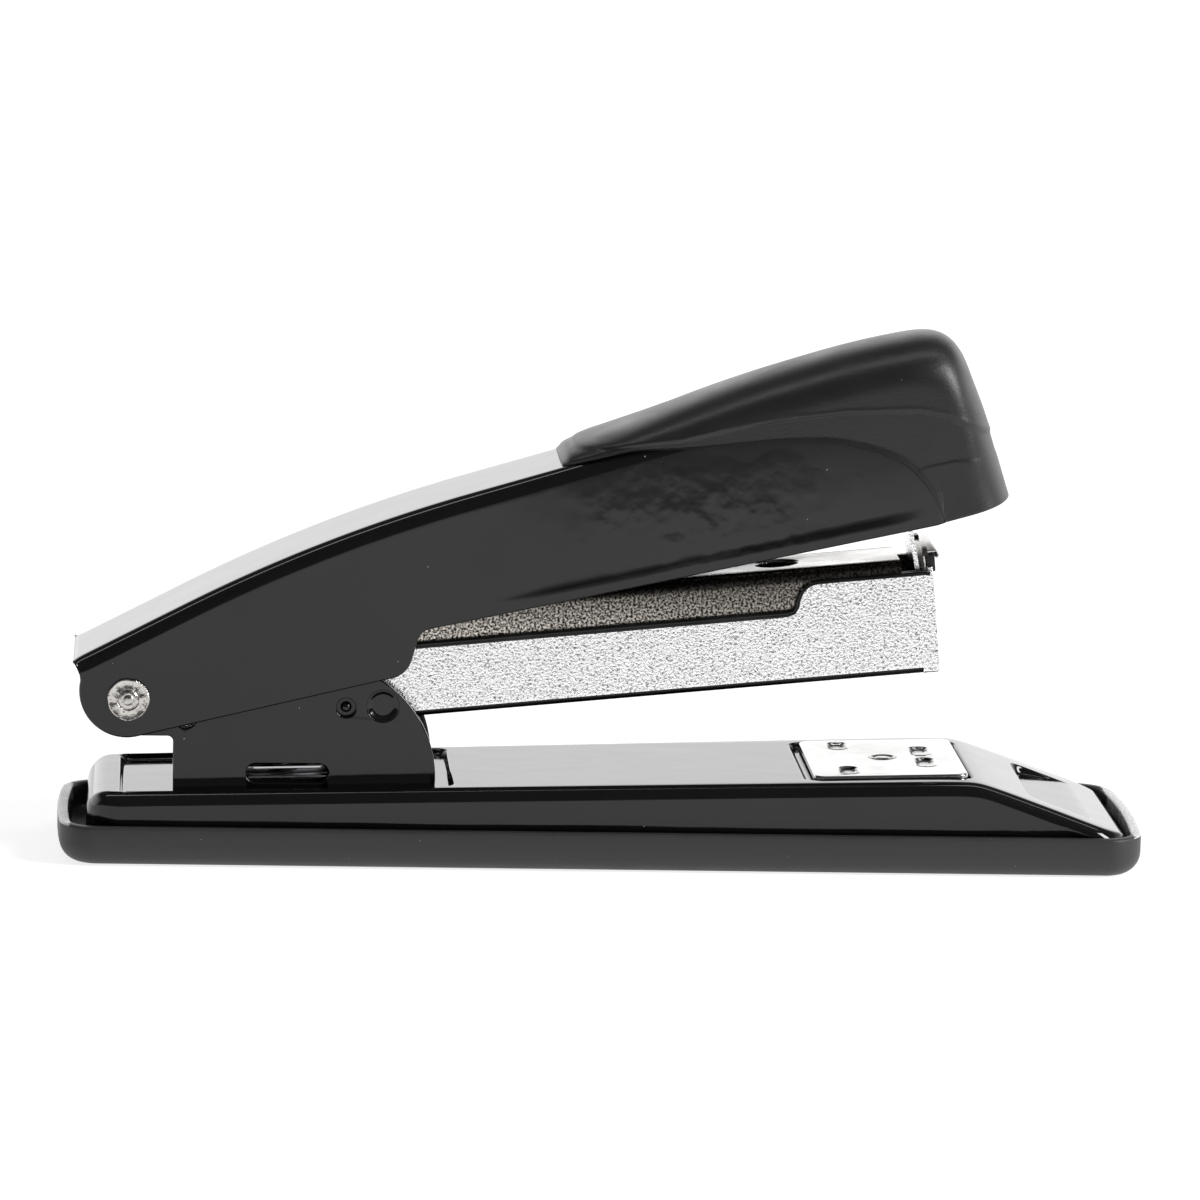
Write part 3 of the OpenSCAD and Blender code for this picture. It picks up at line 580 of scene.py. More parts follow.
SPRING = plated("spring_steel", (0.42, 0.42, 0.44), (0.55, 0.55, 0.57), 0.16, 0.26, 0.5, 0.003)
WIRE = plated("staple_wire", (0.68, 0.68, 0.69), (0.78, 0.78, 0.79), 0.16, 0.28, 0.5, 0.003)


# ---------------------------------------------------------------- sole

SOLE_REAR, SOLE_FRONT = -75.0, 73.2
SOLE_CORNER_R = 5.0
SOLE_FLOOR = 2.0
ANVIL_X = 38.4
BUTTON_HOLE_R = 8.0


def plan_half(x, inset):
    """Half width of the sole's tapered plan, shrunk by inset."""
    return 16.6 + 3.0 * (x - SOLE_REAR) / (SOLE_FRONT - SOLE_REAR) - inset


def plan_ring(inset, z):
    """The tapered outline with round corners, shrunk by inset, with a point count that never changes."""
    r = max(SOLE_CORNER_R - inset, 0.4)
    front_x, rear_x = SOLE_FRONT - inset - r, SOLE_REAR + inset + r
    front, rear = plan_half(SOLE_FRONT, inset) - r, plan_half(SOLE_REAR, inset) - r
    corners = [arc(front_x, front, r, 0, 90, 12), arc(rear_x, rear, r, 90, 180, 12),
               arc(rear_x, -rear, r, 180, 270, 12), arc(front_x, -front, r, 270, 360, 12)]
    ring = []
    for corner, following, steps in zip(corners, corners[1:] + corners[:1], (90, 16, 90, 16)):
        ring += corner + between(corner[-1], following[0], np.arange(1, steps) / steps)
    # both ends bow outwards a little
    bowed = []
    for x, y in ring:
        near = float(smooth(9, 0, min(x - SOLE_REAR, SOLE_FRONT - x) - inset))
        bowed.append((x - math.copysign(0.9 * near * (y / 17) ** 2, x), y, z))
    return bowed


def on_lip(centre, normal):
    """True on the top and the inner face of the sole's rim, at both of its ends."""
    x = centre[0] - MIDDLE_X
    return centre[2] > 3.2 and abs(x) > 72.2 and (normal[2] > 0.2 or normal[0] * x < 0)


def rubber_sole():
    """A moulded tray: flat floor with an opening for the anvil's button, and a soft upstanding rim."""
    # inset and height, from the middle of the underside round the rim to the floor
    profile = [(3.3, 0.0)] + arc(3.0, 3.0, 3.0, 270, 180, 9)
    profile += [(0.0, 4.2), (0.0, 5.15), (0.03, 5.3), (0.12, 5.43), (0.28, 5.5), (0.8, 5.5), (1.22, 5.5),
                (1.38, 5.44), (1.47, 5.33), (1.5, 5.15), (1.5, 3.5), (1.5, 2.6), (1.6, 2.3), (1.85, 2.05),
                (2.2, SOLE_FLOOR)]
    rings = [plan_ring(inset, z) for inset, z in profile]
    form = Form().add(*loft(rings, caps=False), other=on_lip)
    for ring in (rings[0], rings[-1]):
        z = ring[0][2]
        form.add(*taken(filled([ring, at_height(circle(ANVIL_X, 0, BUTTON_HOLE_R, 64), z)])))
    bore = [(BUTTON_HOLE_R, z) for z in (0, 0.3, 1.7, SOLE_FLOOR)]
    return form.add(*lathe(bore, 64, closed=False), Matrix.Translation((ANVIL_X, 0, 0)))


piece("sole", weld(rubber_sole()), [RUBBER, RUBBER_LIP], "base", ["rubber_sole"], sharp=40)


# ---------------------------------------------------------------- base

BASE_REAR, BASE_TOE, BASE_LOW = -71.0, 70.8, 2.1
BASE_CORNER_R = 5.0
TOP_EDGE_R = 1.8
FLANK_LEAN = 0.4
TOE_HEIGHT = 5.1
RAMP_X = 50.0
# Rear end, front end, half width and depth
POCKETS = ((-66.3, -21.5, 13.0, 0.8), (26.7, 49.4, 13.0, 0.75))
SCOOP_X, SCOOP_HALF_W, SCOOP_DEPTH = 57.7, 11.8, 1.25


def base_skyline(x):
    """Height of the base's top along its middle: a gentle rise, then the front ramp."""
    rise = base_top(x)
    toe = TOE_HEIGHT + (BASE_TOE - x) * (base_top(RAMP_X) - TOE_HEIGHT) / (BASE_TOE - RAMP_X)
    return (rise + toe) / 2 - math.sqrt(((rise - toe) / 2) ** 2 + 0.12)


def box_step(x, y, x0, x1, half, edge):
    """1 inside a rectangle and 0 outside, with a soft edge of that width."""
    corner = 1.6
    dx = max(x0 + corner - x, x - x1 + corner, 0.0)
    dy = max(abs(y) - half + corner, 0.0)
    inside = max(x0 - x, x - x1, abs(y) - half)
    d = math.hypot(dx, dy) - corner if dx > 0 and dy > 0 else inside
    return float(smooth(edge, -edge, d))


def pressed_depth(x, y, grow):
    """How far the pockets and the scoop lie below the base's top."""
    depth = 0.0
    for x0, x1, half, deep in POCKETS:
        depth += deep * box_step(x, y, x0 - grow, x1 + grow, half + grow, 0.38)
    fade = float(np.clip((65.5 - x) / 7.8, 0, 1))
    return depth + SCOOP_DEPTH * fade * box_step(x, y, SCOOP_X - grow, 72 + grow, SCOOP_HALF_W + grow, 0.30)


def round_end(distance, r):
    """How far a quarter circle of that radius falls short at a distance from its end."""
    return r - math.sqrt(max(r ** 2 - (r - distance) ** 2, 0)) if distance < r else 0.0


def base_stations():
    """(x, share of the full height) from the rear face over the top to the toe."""
    out = [(BASE_REAR, h) for h in (0.0, 0.25, 0.5, 0.66)]
    ends = 5 * (1 - np.cos(np.radians(np.linspace(4, 90, 22))))
    marks = [m for p in POCKETS for m in p[:2]] + [SCOOP_X]
    xs = [x for x in BASE_REAR + ends if x < -67.2] + cluster(-67.2, 65.8, marks, 1.6, 0.12, 0.6)
    xs += list(BASE_TOE - ends[::-1])
    out += [(x, 1.0) for x in xs]
    return out + [(BASE_TOE, h) for h in (0.7, 0.5, 0.25, 0.0)]


def base_grid(inset):
    """Points of the base's outer skin, or of its inner skin when inset is the sheet's thickness."""
    inner_lines = list(np.arange(0, 10.6, 1.5)) + list(np.linspace(11.3, 13.7, 19))
    rows = []
    for x, share in base_stations():
        from_end = min(x - BASE_REAR, BASE_TOE - x)
        half = plan_half(x, 1.55) - round_end(from_end, BASE_CORNER_R) - inset
        drop = round_end(from_end, 3.0 if x < 0 else 1.3)
        top = BASE_LOW + (base_skyline(x) - drop - BASE_LOW) * share
        tall = max(top - BASE_LOW, 0.02)
        radius = min(TOP_EDGE_R, tall * 0.5)
        lean = FLANK_LEAN * min(1, tall / 7)
        flat = half - lean - radius
        side, count = [], 9
        for k in range(count):        # up the flank, tucked in along its foot
            q = k / count
            z = BASE_LOW + (tall - radius) * q
            foot = float(smooth(6.5 + 0.16 * wave(x, 1, 9), 5.3, z)) * (0.34 + 0.05 * wave(x, 2, 6))
            side.append((half - lean * q - foot, z))
        side += arc(flat, top - radius, radius, 0, 90, 9)
        squeeze = min(1.0, flat / 13.9)
        for y in reversed(inner_lines):
            lower = pressed_depth(x, y * squeeze, inset) * share if drop == 0 else 0
            side.append((y * squeeze, top - lower))
        xi = min(max(x, BASE_REAR + inset), BASE_TOE - inset)
        row = [(xi, -y, z) for y, z in side] + [(xi, y, z) for y, z in reversed(side[:-1])]
        if inset:
            row = [(px, py, max(pz - inset * float(smooth(BASE_LOW, BASE_LOW + 2.5, pz)), BASE_LOW))
                   for px, py, pz in row]
        rows.append(row)
    return rows


form = Form().add(*shell(base_grid(0.0), base_grid(1.0), bulge=0.0))
piece("base", form, BLACK, "base", ["base_shell"], sharp=50)


# ---------------------------------------------------------------- hinge bracket

BRACKET_REAR, BRACKET_FRONT = -59.3, -24.0
BRACKET_OUT, BRACKET_IN = 9.1, 8.0      # faces of its sides, from the middle
BRACKET_SINK = 0.79                     # how far its foot lies below the base's top
LOBE_R = 5.3
PIN_HOLE_R = 1.42
WINDOW_X, WINDOW_L, WINDOW_H = -43.8, 11.2, 2.6
DETENT_X, DETENT_Z = -35.9, 20.8
DIMPLE_X, DIMPLE_Z = -30.9, 21.1


def bracket_outline():
    """One side of the bracket: its rear notch, the lobe round the pin and the arched front."""
    low = base_top(BRACKET_REAR) - BRACKET_SINK
    arch_x, arch_z, arch_r = -39.86, 11.1, 16.2
    angle = math.degrees(math.asin((base_top(BRACKET_FRONT) - BRACKET_SINK - arch_z) / arch_r))
    notch = fillet([(BRACKET_REAR, low), (BRACKET_REAR, 16.7), (-62.3, 16.7)], [0, 0.8, 0])
    return notch + arc(PIN_X, PIN_Z, LOBE_R, 270, 90, 28) + arc(arch_x, arch_z, arch_r, 90, angle, 44)


def window():
    """The slot through the bracket's sides, just above the base."""
    r, reach = WINDOW_H / 2, (WINDOW_L - WINDOW_H) / 2
    z = base_top(WINDOW_X) + r
    return arc(WINDOW_X + reach, z, r, -90, 90, 10) + arc(WINDOW_X - reach, z, r, 90, 270, 10)


def on_side(x, y, z):
    """Turns a lathed shape so that its axis points out of the near side, at x, y, z."""
    return Matrix.Translation((x, y, z)) @ Matrix.Rotation(math.radians(90), 4, "X")


form = Form()
holes = [circle(PIN_X, PIN_Z, PIN_HOLE_R), window(), circle(-57.6, 19.2, 1.4),
         circle(DETENT_X, DETENT_Z, 1.32), circle(DIMPLE_X, DIMPLE_Z, 2.15, 40)]
form.add_both(*plate(bracket_outline(), holes, -BRACKET_OUT, -BRACKET_IN, bevel=0.22, segments=4,
                     soft=lambda x, z: z > base_top(x) - 0.6))
dimple = [(0.0, -0.42), (0.8, -0.42), (1.35, -0.42), (1.5, -0.40), (1.62, -0.33), (1.95, -0.12),
          (2.06, -0.05), (2.2, -0.04), (2.2, -1.0), (0, -1.0)]
form.add_both(*lathe(dimple, 40), on_side(DIMPLE_X, -BRACKET_OUT, DIMPLE_Z))
stud = [(0, -0.22), (0.25, -0.26), (0.45, -0.36), (0.6, -0.52), (0.7, -0.75), (0.8, -1.1), (0, -1.1)]
form.add_both(*lathe(stud, 24), on_side(DETENT_X, -BRACKET_OUT - 0.02, DETENT_Z))
floor_ring = [(0.7, -0.98), (1.32, -0.98), (1.32, -1.08), (0.7, -1.08)]
form.add_both(*lathe(floor_ring, 32), on_side(DETENT_X, -BRACKET_OUT, DETENT_Z))
# foot: a floor joins the sides, and the sheet bends outwards along them, before and behind the window
rings = []
for x in np.linspace(BRACKET_REAR, -24.6, 30):
    z, y = base_top(x) - BRACKET_SINK, 8.05
    rings.append([(x, -y, z), (x, y, z), (x, y, z + 1.08), (x, -y, z + 1.08)])
form.add(*loft(rings))
for first, last in ((-59.25, -49.3), (-38.3, -24.35)):
    rings = []
    for x in np.linspace(first, last, 30):
        z, w = base_top(x) - 0.78, 1.25 + 0.12 * wave(x, 3, 7)
        bend = [(0.02, 1.5), (0.06, 1.2), (0.16, 0.9), (0.36, 0.62), (0.7, 0.4), (1.15, 0.28),
                (w + 0.4, 0.2), (w + 0.6, 0.02), (-0.05, 0.02), (-0.05, 1.5)]
        rings.append([(x, -BRACKET_OUT - out, z + up) for out, up in bend])
    form.add_both(*loft(rings))
piece("hinge_bracket_sides", form, BLACK, "base", ["hinge_bracket", "detent_pins"],
      weighted=True)


# ---------------------------------------------------------------- hinge pin and washers

def hammered(verts, seed, struck):
    """Lathed vertices whose outline, where struck(r, z), is not quite round and has small facets."""
    out = []
    for x, y, z in verts:
        a, r = math.atan2(y, x), math.hypot(x, y)
        k = 1 + 0.018 * math.sin(3 * a + seed) + 0.012 * math.sin(7 * a + 2 * seed) * min(r, 2) / 2
        k = k if struck(r, z) else 1
        out.append((x * k, y * k, z))
    return out


def buckled(verts):
    """Lathed vertices whose height rises and falls a little round the axis."""
    out = []
    for x, y, z in verts:
        a = math.atan2(y, x)
        out.append((x, y, z * (1 + 0.10 * math.sin(5 * a + 1) + 0.08 * math.sin(11 * a))))
    return out


pin = [(0, 0.95), (0.35, 0.95), (0.62, 0.84), (0.72, 0.72), (0.85, 0.74), (1.15, 0.68), (1.38, 0.50),
       (1.44, 0.25), (1.375, 0.1), (1.375, -10.45)]
verts, faces = lathe(pin, 40, closed=False)
form = Form().add_both(hammered(verts, 1.3, lambda r, z: z > 0), faces, on_side(PIN_X, -10.4, PIN_Z))
piece("pin", weld(form), PEENED, "base", ["hinge_pin"])

ring = [(1.40, 0.0), (1.40, 0.42), (1.52, 0.5), (1.75, 0.42), (2.1, 0.36), (2.45, 0.42), (2.68, 0.5),
        (2.82, 0.42), (2.88, 0.25), (2.85, 0.05), (2.7, 0.0)]
verts, faces = lathe(ring, 64)
verts = buckled(hammered(verts, 0.4, lambda r, z: r > 1.6))
form = Form().add_both(verts, faces, on_side(PIN_X, -10.46, PIN_Z))
piece("washers", form, PEENED, "base", ["pin_washers"])


# ---------------------------------------------------------------- leaf spring under the magazine

HAIRPIN_X = -51.0


def lift_line():
    """From the flat foot, round the hairpin at the rear, and up along the tongue."""
    z = base_top(HAIRPIN_X) + 0.36
    foot = [(x, z + (x - HAIRPIN_X) * math.tan(BASE_SLOPE)) for x in np.linspace(-38, -50.8, 12)]
    turn = arc(HAIRPIN_X, z + 0.85, 0.85, -95, -265, 13)
    return foot + turn + [(HAIRPIN_X + t * 24.5, z + 1.3 + 7.0 * t * t) for t in np.linspace(0.02, 1, 26)]


form = Form().add(*ribbon(list(reversed(lift_line())), 0.36, 5.4, 0.1))
# the edges of the spring's wide foot, which show through the windows
edge_y = -7.93
for up, half_l in ((0.62, 5.2), (1.95, 4.6)):
    rings = []
    for t, k in ((-1, 0.35), (-0.985, 0.8), (-0.96, 1), (0.96, 1), (0.985, 0.8), (1, 0.35)):
        x = WINDOW_X + t * half_l
        z = base_top(x) + up
        section = ((0.9, -0.24), (0.12, -0.24), (0, -0.12), (0, 0.12), (0.12, 0.24), (0.9, 0.24))
        rings.append([(x, edge_y + inwards, z + rise * k) for inwards, rise in section])
    form.add_both(*loft(rings))
piece("leaf_spring", form, SPRING, "base", ["lift_spring"])


# ---------------------------------------------------------------- anvil

ANVIL_HALF_L, ANVIL_HALF_W = 10.55, 12.7
ANVIL_TOP, ANVIL_LOW = 0.35, -0.45
GROOVE_W = 3.1
ON_ANVIL = place(ANVIL_X, base_top(ANVIL_X), BASE_SLOPE)


def groove(cx, cy, length, width):
    """A pressed groove with round ends: a soft lip, steep sides and a rounded floor."""
    rings = []
    for grow, z in ((0.0, 0.0), (-0.06, 0.035), (-0.14, 0.05), (-0.24, 0.01), (-0.33, -0.10), (-0.45, -0.24),
                    (-0.6, -0.33), (-0.8, -0.38)):
        ring = stadium(length + 2 * grow, width + 2 * grow)
        rings.append([(cx + x, cy + y, ANVIL_TOP + z) for x, y in ring])
    verts, faces = loft(rings, caps=False)
    count = len(rings[0])
    last = len(verts) - count
    verts.append((cx, cy, ANVIL_TOP - 0.40))
    return verts, faces + [[last + i, last + (i + 1) % count, last + count] for i in range(count)]


def rim(inset, z):
    """The plate's outline at height z, shrunk by inset."""
    sx, sy = 1 - inset / ANVIL_HALF_L, 1 - inset / ANVIL_HALF_W
    corners = [(x * ANVIL_HALF_L, y * ANVIL_HALF_W) for x, y in ((1, 1), (-1, 1), (-1, -1), (1, -1))]
    return [(x * sx, y * sy, z) for x, y in fillet(corners, [1.4] * 4, 8)]


form, holes = Form(), []
for side in (-1, 1):
    for x, y, length in ((5.5, side * 3.95, 6.5), (-5.5, side * 8.5, 5.6)):
        form.add(*groove(x, y, length, GROOVE_W), ON_ANVIL)
        holes.append([(x + px, y + py) for px, py in stadium(length, GROOVE_W)])
holes.append(circle(0, 0, 1.95, 40))
form.add(*taken(filled([rim(0.3, ANVIL_TOP)] + [at_height(hole, ANVIL_TOP) for hole in holes])), ON_ANVIL)
edge = [(0.3, ANVIL_TOP), (0.2, 0.335), (0.1, 0.29), (0.03, 0.2), (0.0, 0.08), (0.0, -0.35), (0.06, -0.42),
        (0.2, ANVIL_LOW)]
form.add(*loft([rim(inset, z) for inset, z in edge], caps=False), ON_ANVIL)
under = rim(0.2, ANVIL_LOW)
form.add(under, [list(range(len(under)))], ON_ANVIL)
piece("anvil", weld(form), ANVIL, "anvil", ["anvil_plate"], weighted=True)

stud = [(0, 0.38), (0.5, 0.42), (0.95, 0.36), (1.2, 0.24), (1.35, 0.22), (1.5, 0.34), (1.7, 0.43),
        (1.86, 0.36), (1.9, 0.2), (1.9, -9.2), (0, -9.2)]
button = [(0, 2.6), (3.5, 2.6), (4.9, 2.65), (5.35, 2.75), (5.5, 2.95), (5.5, 4.15), (5.35, 4.3),
          (5.0, 4.35), (0, 4.35)]
form = Form().add(*lathe(stud, 48), ON_ANVIL).add(*lathe(button, 64), Matrix.Translation((ANVIL_X, 0, 0)))
piece("button", form, STEEL, "anvil", ["anvil_button"])


def helix(radius, wire, turns, length):
    """Centre line, along Z, of a wound spring whose end turns lie flat."""
    lead = 0.75
    pts = []
    for k in range(int((turns + 2 * lead) * 28) + 1):
        t = k / 28
        rise = float(np.clip((t - lead) / turns, 0, 1))
        a = 2 * math.pi * t
        pts.append((radius * math.cos(a), radius * math.sin(a), wire + (length - 2 * wire) * rise))
    return pts


COIL_LOW = 4.3
COIL_L = base_top(ANVIL_X) - 6.3
form = Form().add(*tube(helix(3.0, 0.3, 3.2, COIL_L), 0.3, 10), Matrix.Translation((ANVIL_X, 0, COIL_LOW)))
coil = piece("button_spring", form, SPRING, "base", ["anvil_spring"])
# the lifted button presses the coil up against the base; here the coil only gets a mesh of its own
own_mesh(coil)


# ---------------------------------------------------------------- magazine

# In the pin's frame, along the magazine, across it and up
CHANNEL_REAR, CHANNEL_FRONT, FLOOR_FRONT = 7.0, 110.4, 108.2
CHANNEL_OUT, CHANNEL_IN = 7.75, 7.15
WALL_LOW, BEND_LOW = -5.2, -5.35
MAGAZINE_HOLE_R = 1.44


def channel_top_edge():
    """The upper edge of the channel's wall, from the rear to the front, with its curved step."""
    step = spline([(90.2, 3.85), (90.75, 3.9), (91.12, 4.15), (91.3, 4.7), (91.62, 5.6), (92.3, 6.7),
                   (93.4, 7.48), (94.6, 7.75)], 26)
    return [(CHANNEL_REAR, 3.85)] + [tuple(p) for p in step] + arc(109.6, 6.95, 0.8, 90, 0, 6)


def channel_wall_outline():
    """One wall of the channel, with the lug that turns on the pin."""
    lug = arc(0, 0, 4.4, 250, 90, 24)
    foot = [(CHANNEL_FRONT, WALL_LOW), (CHANNEL_REAR, WALL_LOW), (CHANNEL_REAR, -4.1)]
    return lug + channel_top_edge() + foot


def both_halves(section):
    """A section from its edge to the middle, with its mirror image after it."""
    return section + [(-y, z) for y, z in reversed(section[:-1])]


def along(xs, section):
    """The same section of Y and Z at every x."""
    return [[(x, y, z) for y, z in section] for x in xs]


form = Form()
# the walls' top edge faces take the dark chrome: a painted dark reflection
form.add_both(*plate(channel_wall_outline(), [circle(0, 0, MAGAZINE_HOLE_R)], -CHANNEL_OUT, -CHANNEL_IN,
                     bevel=0.27, segments=4, soft=lambda x, z: z > -5.1), MAGAZINE,
              other=lambda c, n: c[2] > 3.3 and abs(n[1]) < 0.96 and c[0] < 109.9)
# the bend along the bottom, and the floor between the walls; their undersides take the dark chrome, painted
# shade and a painted reflection of the dark base
outer, inner = ([(-y, WALL_LOW), (-y, -5.3)] + arc(-6.75, BEND_LOW, r, 188, 270, 8)
                + [(-5.5, BEND_LOW - r), (-2.5, BEND_LOW - r), (0, BEND_LOW - r)]
                for y, r in ((CHANNEL_OUT, 1.0), (CHANNEL_IN, 0.4)))
xs = [CHANNEL_REAR, 7.15] + list(np.linspace(10, 106, 33)) + [108.05, FLOOR_FRONT]
form.add(*shell(along(xs, both_halves(outer)), along(xs, both_halves(inner)), bulge=0.0), MAGAZINE,
         other=lambda c, n: c[2] < -5.5)
# the walls' lowest strip goes on past the floor to the front, where the slot is
rings = []
for x in (FLOOR_FRONT, 108.4, 109.3, 110.2, CHANNEL_FRONT):
    ease = 0.25 if x == CHANNEL_FRONT else 0.0
    y = ease * 0.3 - CHANNEL_OUT
    rings.append([(x, y, WALL_LOW), (x, y, ease - 6.1), (x, -7.6, ease - 6.28), (x, -7.3, ease - 6.3),
                  (x, -CHANNEL_IN, ease - 6.2), (x, -CHANNEL_IN, WALL_LOW)])
form.add_both(*loft(rings), MAGAZINE)
# a rolled hem along the walls' upper edge, in the dark chrome: a painted dark reflection along the edge
edge = np.array(resample(channel_top_edge()[:-4], 150))
run = np.gradient(edge, axis=0)
run /= np.linalg.norm(run, axis=1)[:, None]
hem = [(0.0, 7.55), (-0.02, 7.74), (0.10, 7.84), (0.26, 7.87), (0.40, 7.81), (0.46, 7.81), (0.62, 7.86),
       (0.76, 7.83), (0.84, 7.74), (0.84, 7.55)]
rings = []
for (x, z), (rx, rz) in zip(edge, run):
    size = 1.0 - 0.35 * float(smooth(89.5, 92.5, x))
    rings.append([(x + rz * down * size, -y, z - rx * down * size) for down, y in hem])
form.add_both(*loft(rings), MAGAZINE, slot=1)
piece("channel", form, [CHROME, CHROME_PAINTED_SHADE], "magazine", ["magazine_channel"], weighted=True)


def column(x0, x1, y0, y1, z0, z1):
    """A little upright bar with soft edges."""
    edge = 0.12
    ring = fillet([(x0, y0), (x1, y0), (x1, y1), (x0, y1)], [edge] * 4, 3)
    cx, cy = (x0 + x1) / 2, (y0 + y1) / 2
    foot = [(z0, edge), (z0 + edge * 0.4, edge * 0.3), (z0 + edge, 0)]
    head = [(z1 - edge, 0), (z1 - edge * 0.4, edge * 0.3), (z1, edge)]
    rings = []
    for z, inset in foot + head:
        sx, sy = 1 - inset / (x1 - x0), 1 - inset / (y1 - y0)
        rings.append([(cx + (x - cx) * sx, cy + (y - cy) * sy, z) for x, y in ring])
    return loft(rings)


# the front plate, and the tabs of the hook's foot in the dark chrome: painted shade under the cap's nose
form = Form()
form.add(*column(109.72, 110.42, -7.12, 7.12, -6.3, 8.2), MAGAZINE)
form.add_both(*column(109.72, 110.9, 2.2, 6.2, 7.4, 9.75), MAGAZINE, slot=1)
form.add_both(*column(109.30, 109.95, 4.6, 6.4, 9.6, 10.7), MAGAZINE, slot=1)
piece("front", form, [CHROME, CHROME_PAINTED_SHADE], "magazine", ["front_plate"])

line = [(109.6, 8.0), (109.55, 9.2)] + arc(109.85, 9.75, 0.3, 180, 90, 8)
line += [(110.4, 10.06)] + arc(110.85, 9.72, 0.38, 80, -70, 12)
form = Form().add(*ribbon(resample(line, 50), 0.26, 6.3, 0.08), MAGAZINE)
piece("hook", form, PEENED, "magazine", ["front_hook"])


# ---------------------------------------------------------------- staples and their spring

STRIP_FRONT, STRIP_L, STAPLE_PITCH = 108.1, 68, 0.5
STAPLE_HALF_W, STAPLE_WIRE, STAPLE_LOW = 6.4, 0.5, -5.6

outer = [(-STAPLE_HALF_W, STAPLE_LOW), (-STAPLE_HALF_W, -3.0), (-STAPLE_HALF_W, -0.35)]
outer += arc(-5.8, -0.3, 0.6, 180, 90, 5) + [(-3, 0.3), (0, 0.3)]
leg_y = STAPLE_WIRE - STAPLE_HALF_W
inner = [(leg_y, STAPLE_LOW), (leg_y, -3.0), (leg_y, -0.5)]
inner += arc(-5.6, -0.5, 0.3, 180, 90, 5) + [(-3, -0.2), (0, -0.2)]
outer_rows, inner_rows = [], []
for count in range(int(STRIP_L / STAPLE_PITCH)):
    x = STRIP_FRONT - STRIP_L + count * STAPLE_PITCH
    for dx, dent in ((0.02, 0.07), (0.12, 0.0), (0.40, 0.0), (0.50, 0.07)):     # a dip between two staples
        outer_rows += along([x + dx], both_halves([(y + dent, z - dent) for y, z in outer]))
        inner_rows += along([x + dx], both_halves(inner))
form = Form().add(*shell(outer_rows, inner_rows, bulge=0.0), MAGAZINE)
piece("staples", form, WIRE, "magazine", ["staple_strip"], sharp=50)

ROD_Z = -3.3
COIL_REAR, COIL_L = 9.5, 20.4
path = [(COIL_REAR + z, y, ROD_Z + x) for x, y, z in helix(1.65, 0.25, 24, COIL_L)]
form = Form().add(*tube(path, 0.25, 8), MAGAZINE)
coil = piece("feed_spring", form, SPRING, "magazine", ["pusher_spring"])
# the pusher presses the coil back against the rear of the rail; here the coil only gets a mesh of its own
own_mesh(coil)


# ---------------------------------------------------------------- cover

COVER_OUT, COVER_IN, COVER_TOP, COVER_SHEET = 7.05, 6.3, 9.25, 0.75
COVER_HOLE_X, COVER_HOLE_R = 89.7, 2.95
FLAT_HALF_W = 4.9

form = Form()
outer, inner = ([(-y, z) for z in np.linspace(0.8, 7.3, 14)] + arc(-5.25, 7.45, r, 178, 90, 12)
                + [(-FLAT_HALF_W, 7.45 + r)]
                for y, r in ((COVER_OUT, 1.8), (COVER_IN, 1.05)))
xs = [7.8, 8.0] + list(np.linspace(9, 105, 60)) + [105.6, 106.2]
form.add_both(*shell(along(xs, outer), along(xs, inner), bulge=0.0), MAGAZINE)
top = [(xs[-1], FLAT_HALF_W), (xs[0], FLAT_HALF_W), (xs[0], -FLAT_HALF_W), (xs[-1], -FLAT_HALF_W)]
form.add(*flat_plate(top, [circle(COVER_HOLE_X, 0, COVER_HOLE_R, 64)], COVER_TOP - COVER_SHEET, COVER_TOP,
                     bevel=0.3, segments=4,
                     soft=lambda x, y: math.hypot(x - COVER_HOLE_X, y) < COVER_HOLE_R + 0.25),
         MAGAZINE, slot=1)
# two low cheeks reach past the driver's opening
xs = (106.0, 106.4, 107.5, 108.6, 108.95, 109.1)
form.add_both(*shell(along(xs, outer[:16]), along(xs, inner[:16]), bulge=0.12), MAGAZINE)
# rear lugs that turn on the pin
lug = arc(0, 0, 4.0, 270, 120, 26) + [(0.0, 3.9), (3.0, 3.0), (12.0, 3.0), (12.0, -1.0), (6.0, -4.0)]
form.add_both(*plate(lug, [circle(0, 0, MAGAZINE_HOLE_R)], -COVER_OUT, -COVER_IN, bevel=0.12), MAGAZINE)
piece("cover", form, [COVER_SIDE, TIN], "cover", ["magazine_cover"], sharp=40)

LEAF_Z, LEAF_RISE = 9.28, 11.2
line = [(x, LEAF_Z) for x in np.linspace(13, 26.6, 10)]
line += [(27 + t * 14, LEAF_Z + LEAF_RISE * t * t) for t in np.linspace(0, 1, 22)]
form = Form().add(*ribbon(line, 0.46, 4.45, 0.1), MAGAZINE)
leaf = piece("return_spring", form, SPRING, "cover", ["handle_spring"])
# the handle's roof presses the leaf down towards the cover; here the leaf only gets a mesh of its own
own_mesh(leaf)


# ---------------------------------------------------------------- handle

HANDLE_HALF_W, HANDLE_EDGE_R = 10.4, 2.1
HANDLE_REAR, HANDLE_FRONT = -72.8, 42.8
CHIN = (44.7, 47.37)        # the front end of the lower edge
HANDLE_TUCK = 0.34          # how far the sides lean in towards the top, in front


def handle_low_edge():
    """The handle's lower edge in X and Z, from the rear corner round the lobe to the front."""
    pts = [(HANDLE_REAR, 26.95), (-72.35, 26.05), (-72.0, 25.2)] + arc(-65.6, 23.2, 6.3, 168, 284.6, 40)
    heel = arc(-30.6, 28.9, 3.6, -75.4, -12, 16)
    pts += between(pts[-1], heel[0], np.linspace(0.03, 0.97, 40)) + heel
    pts += arc(-24.1, 29.9, 2.4, 175, 102.3, 12)
    return np.array(pts + between(pts[-1], CHIN, np.linspace(0.012, 1, 90)))


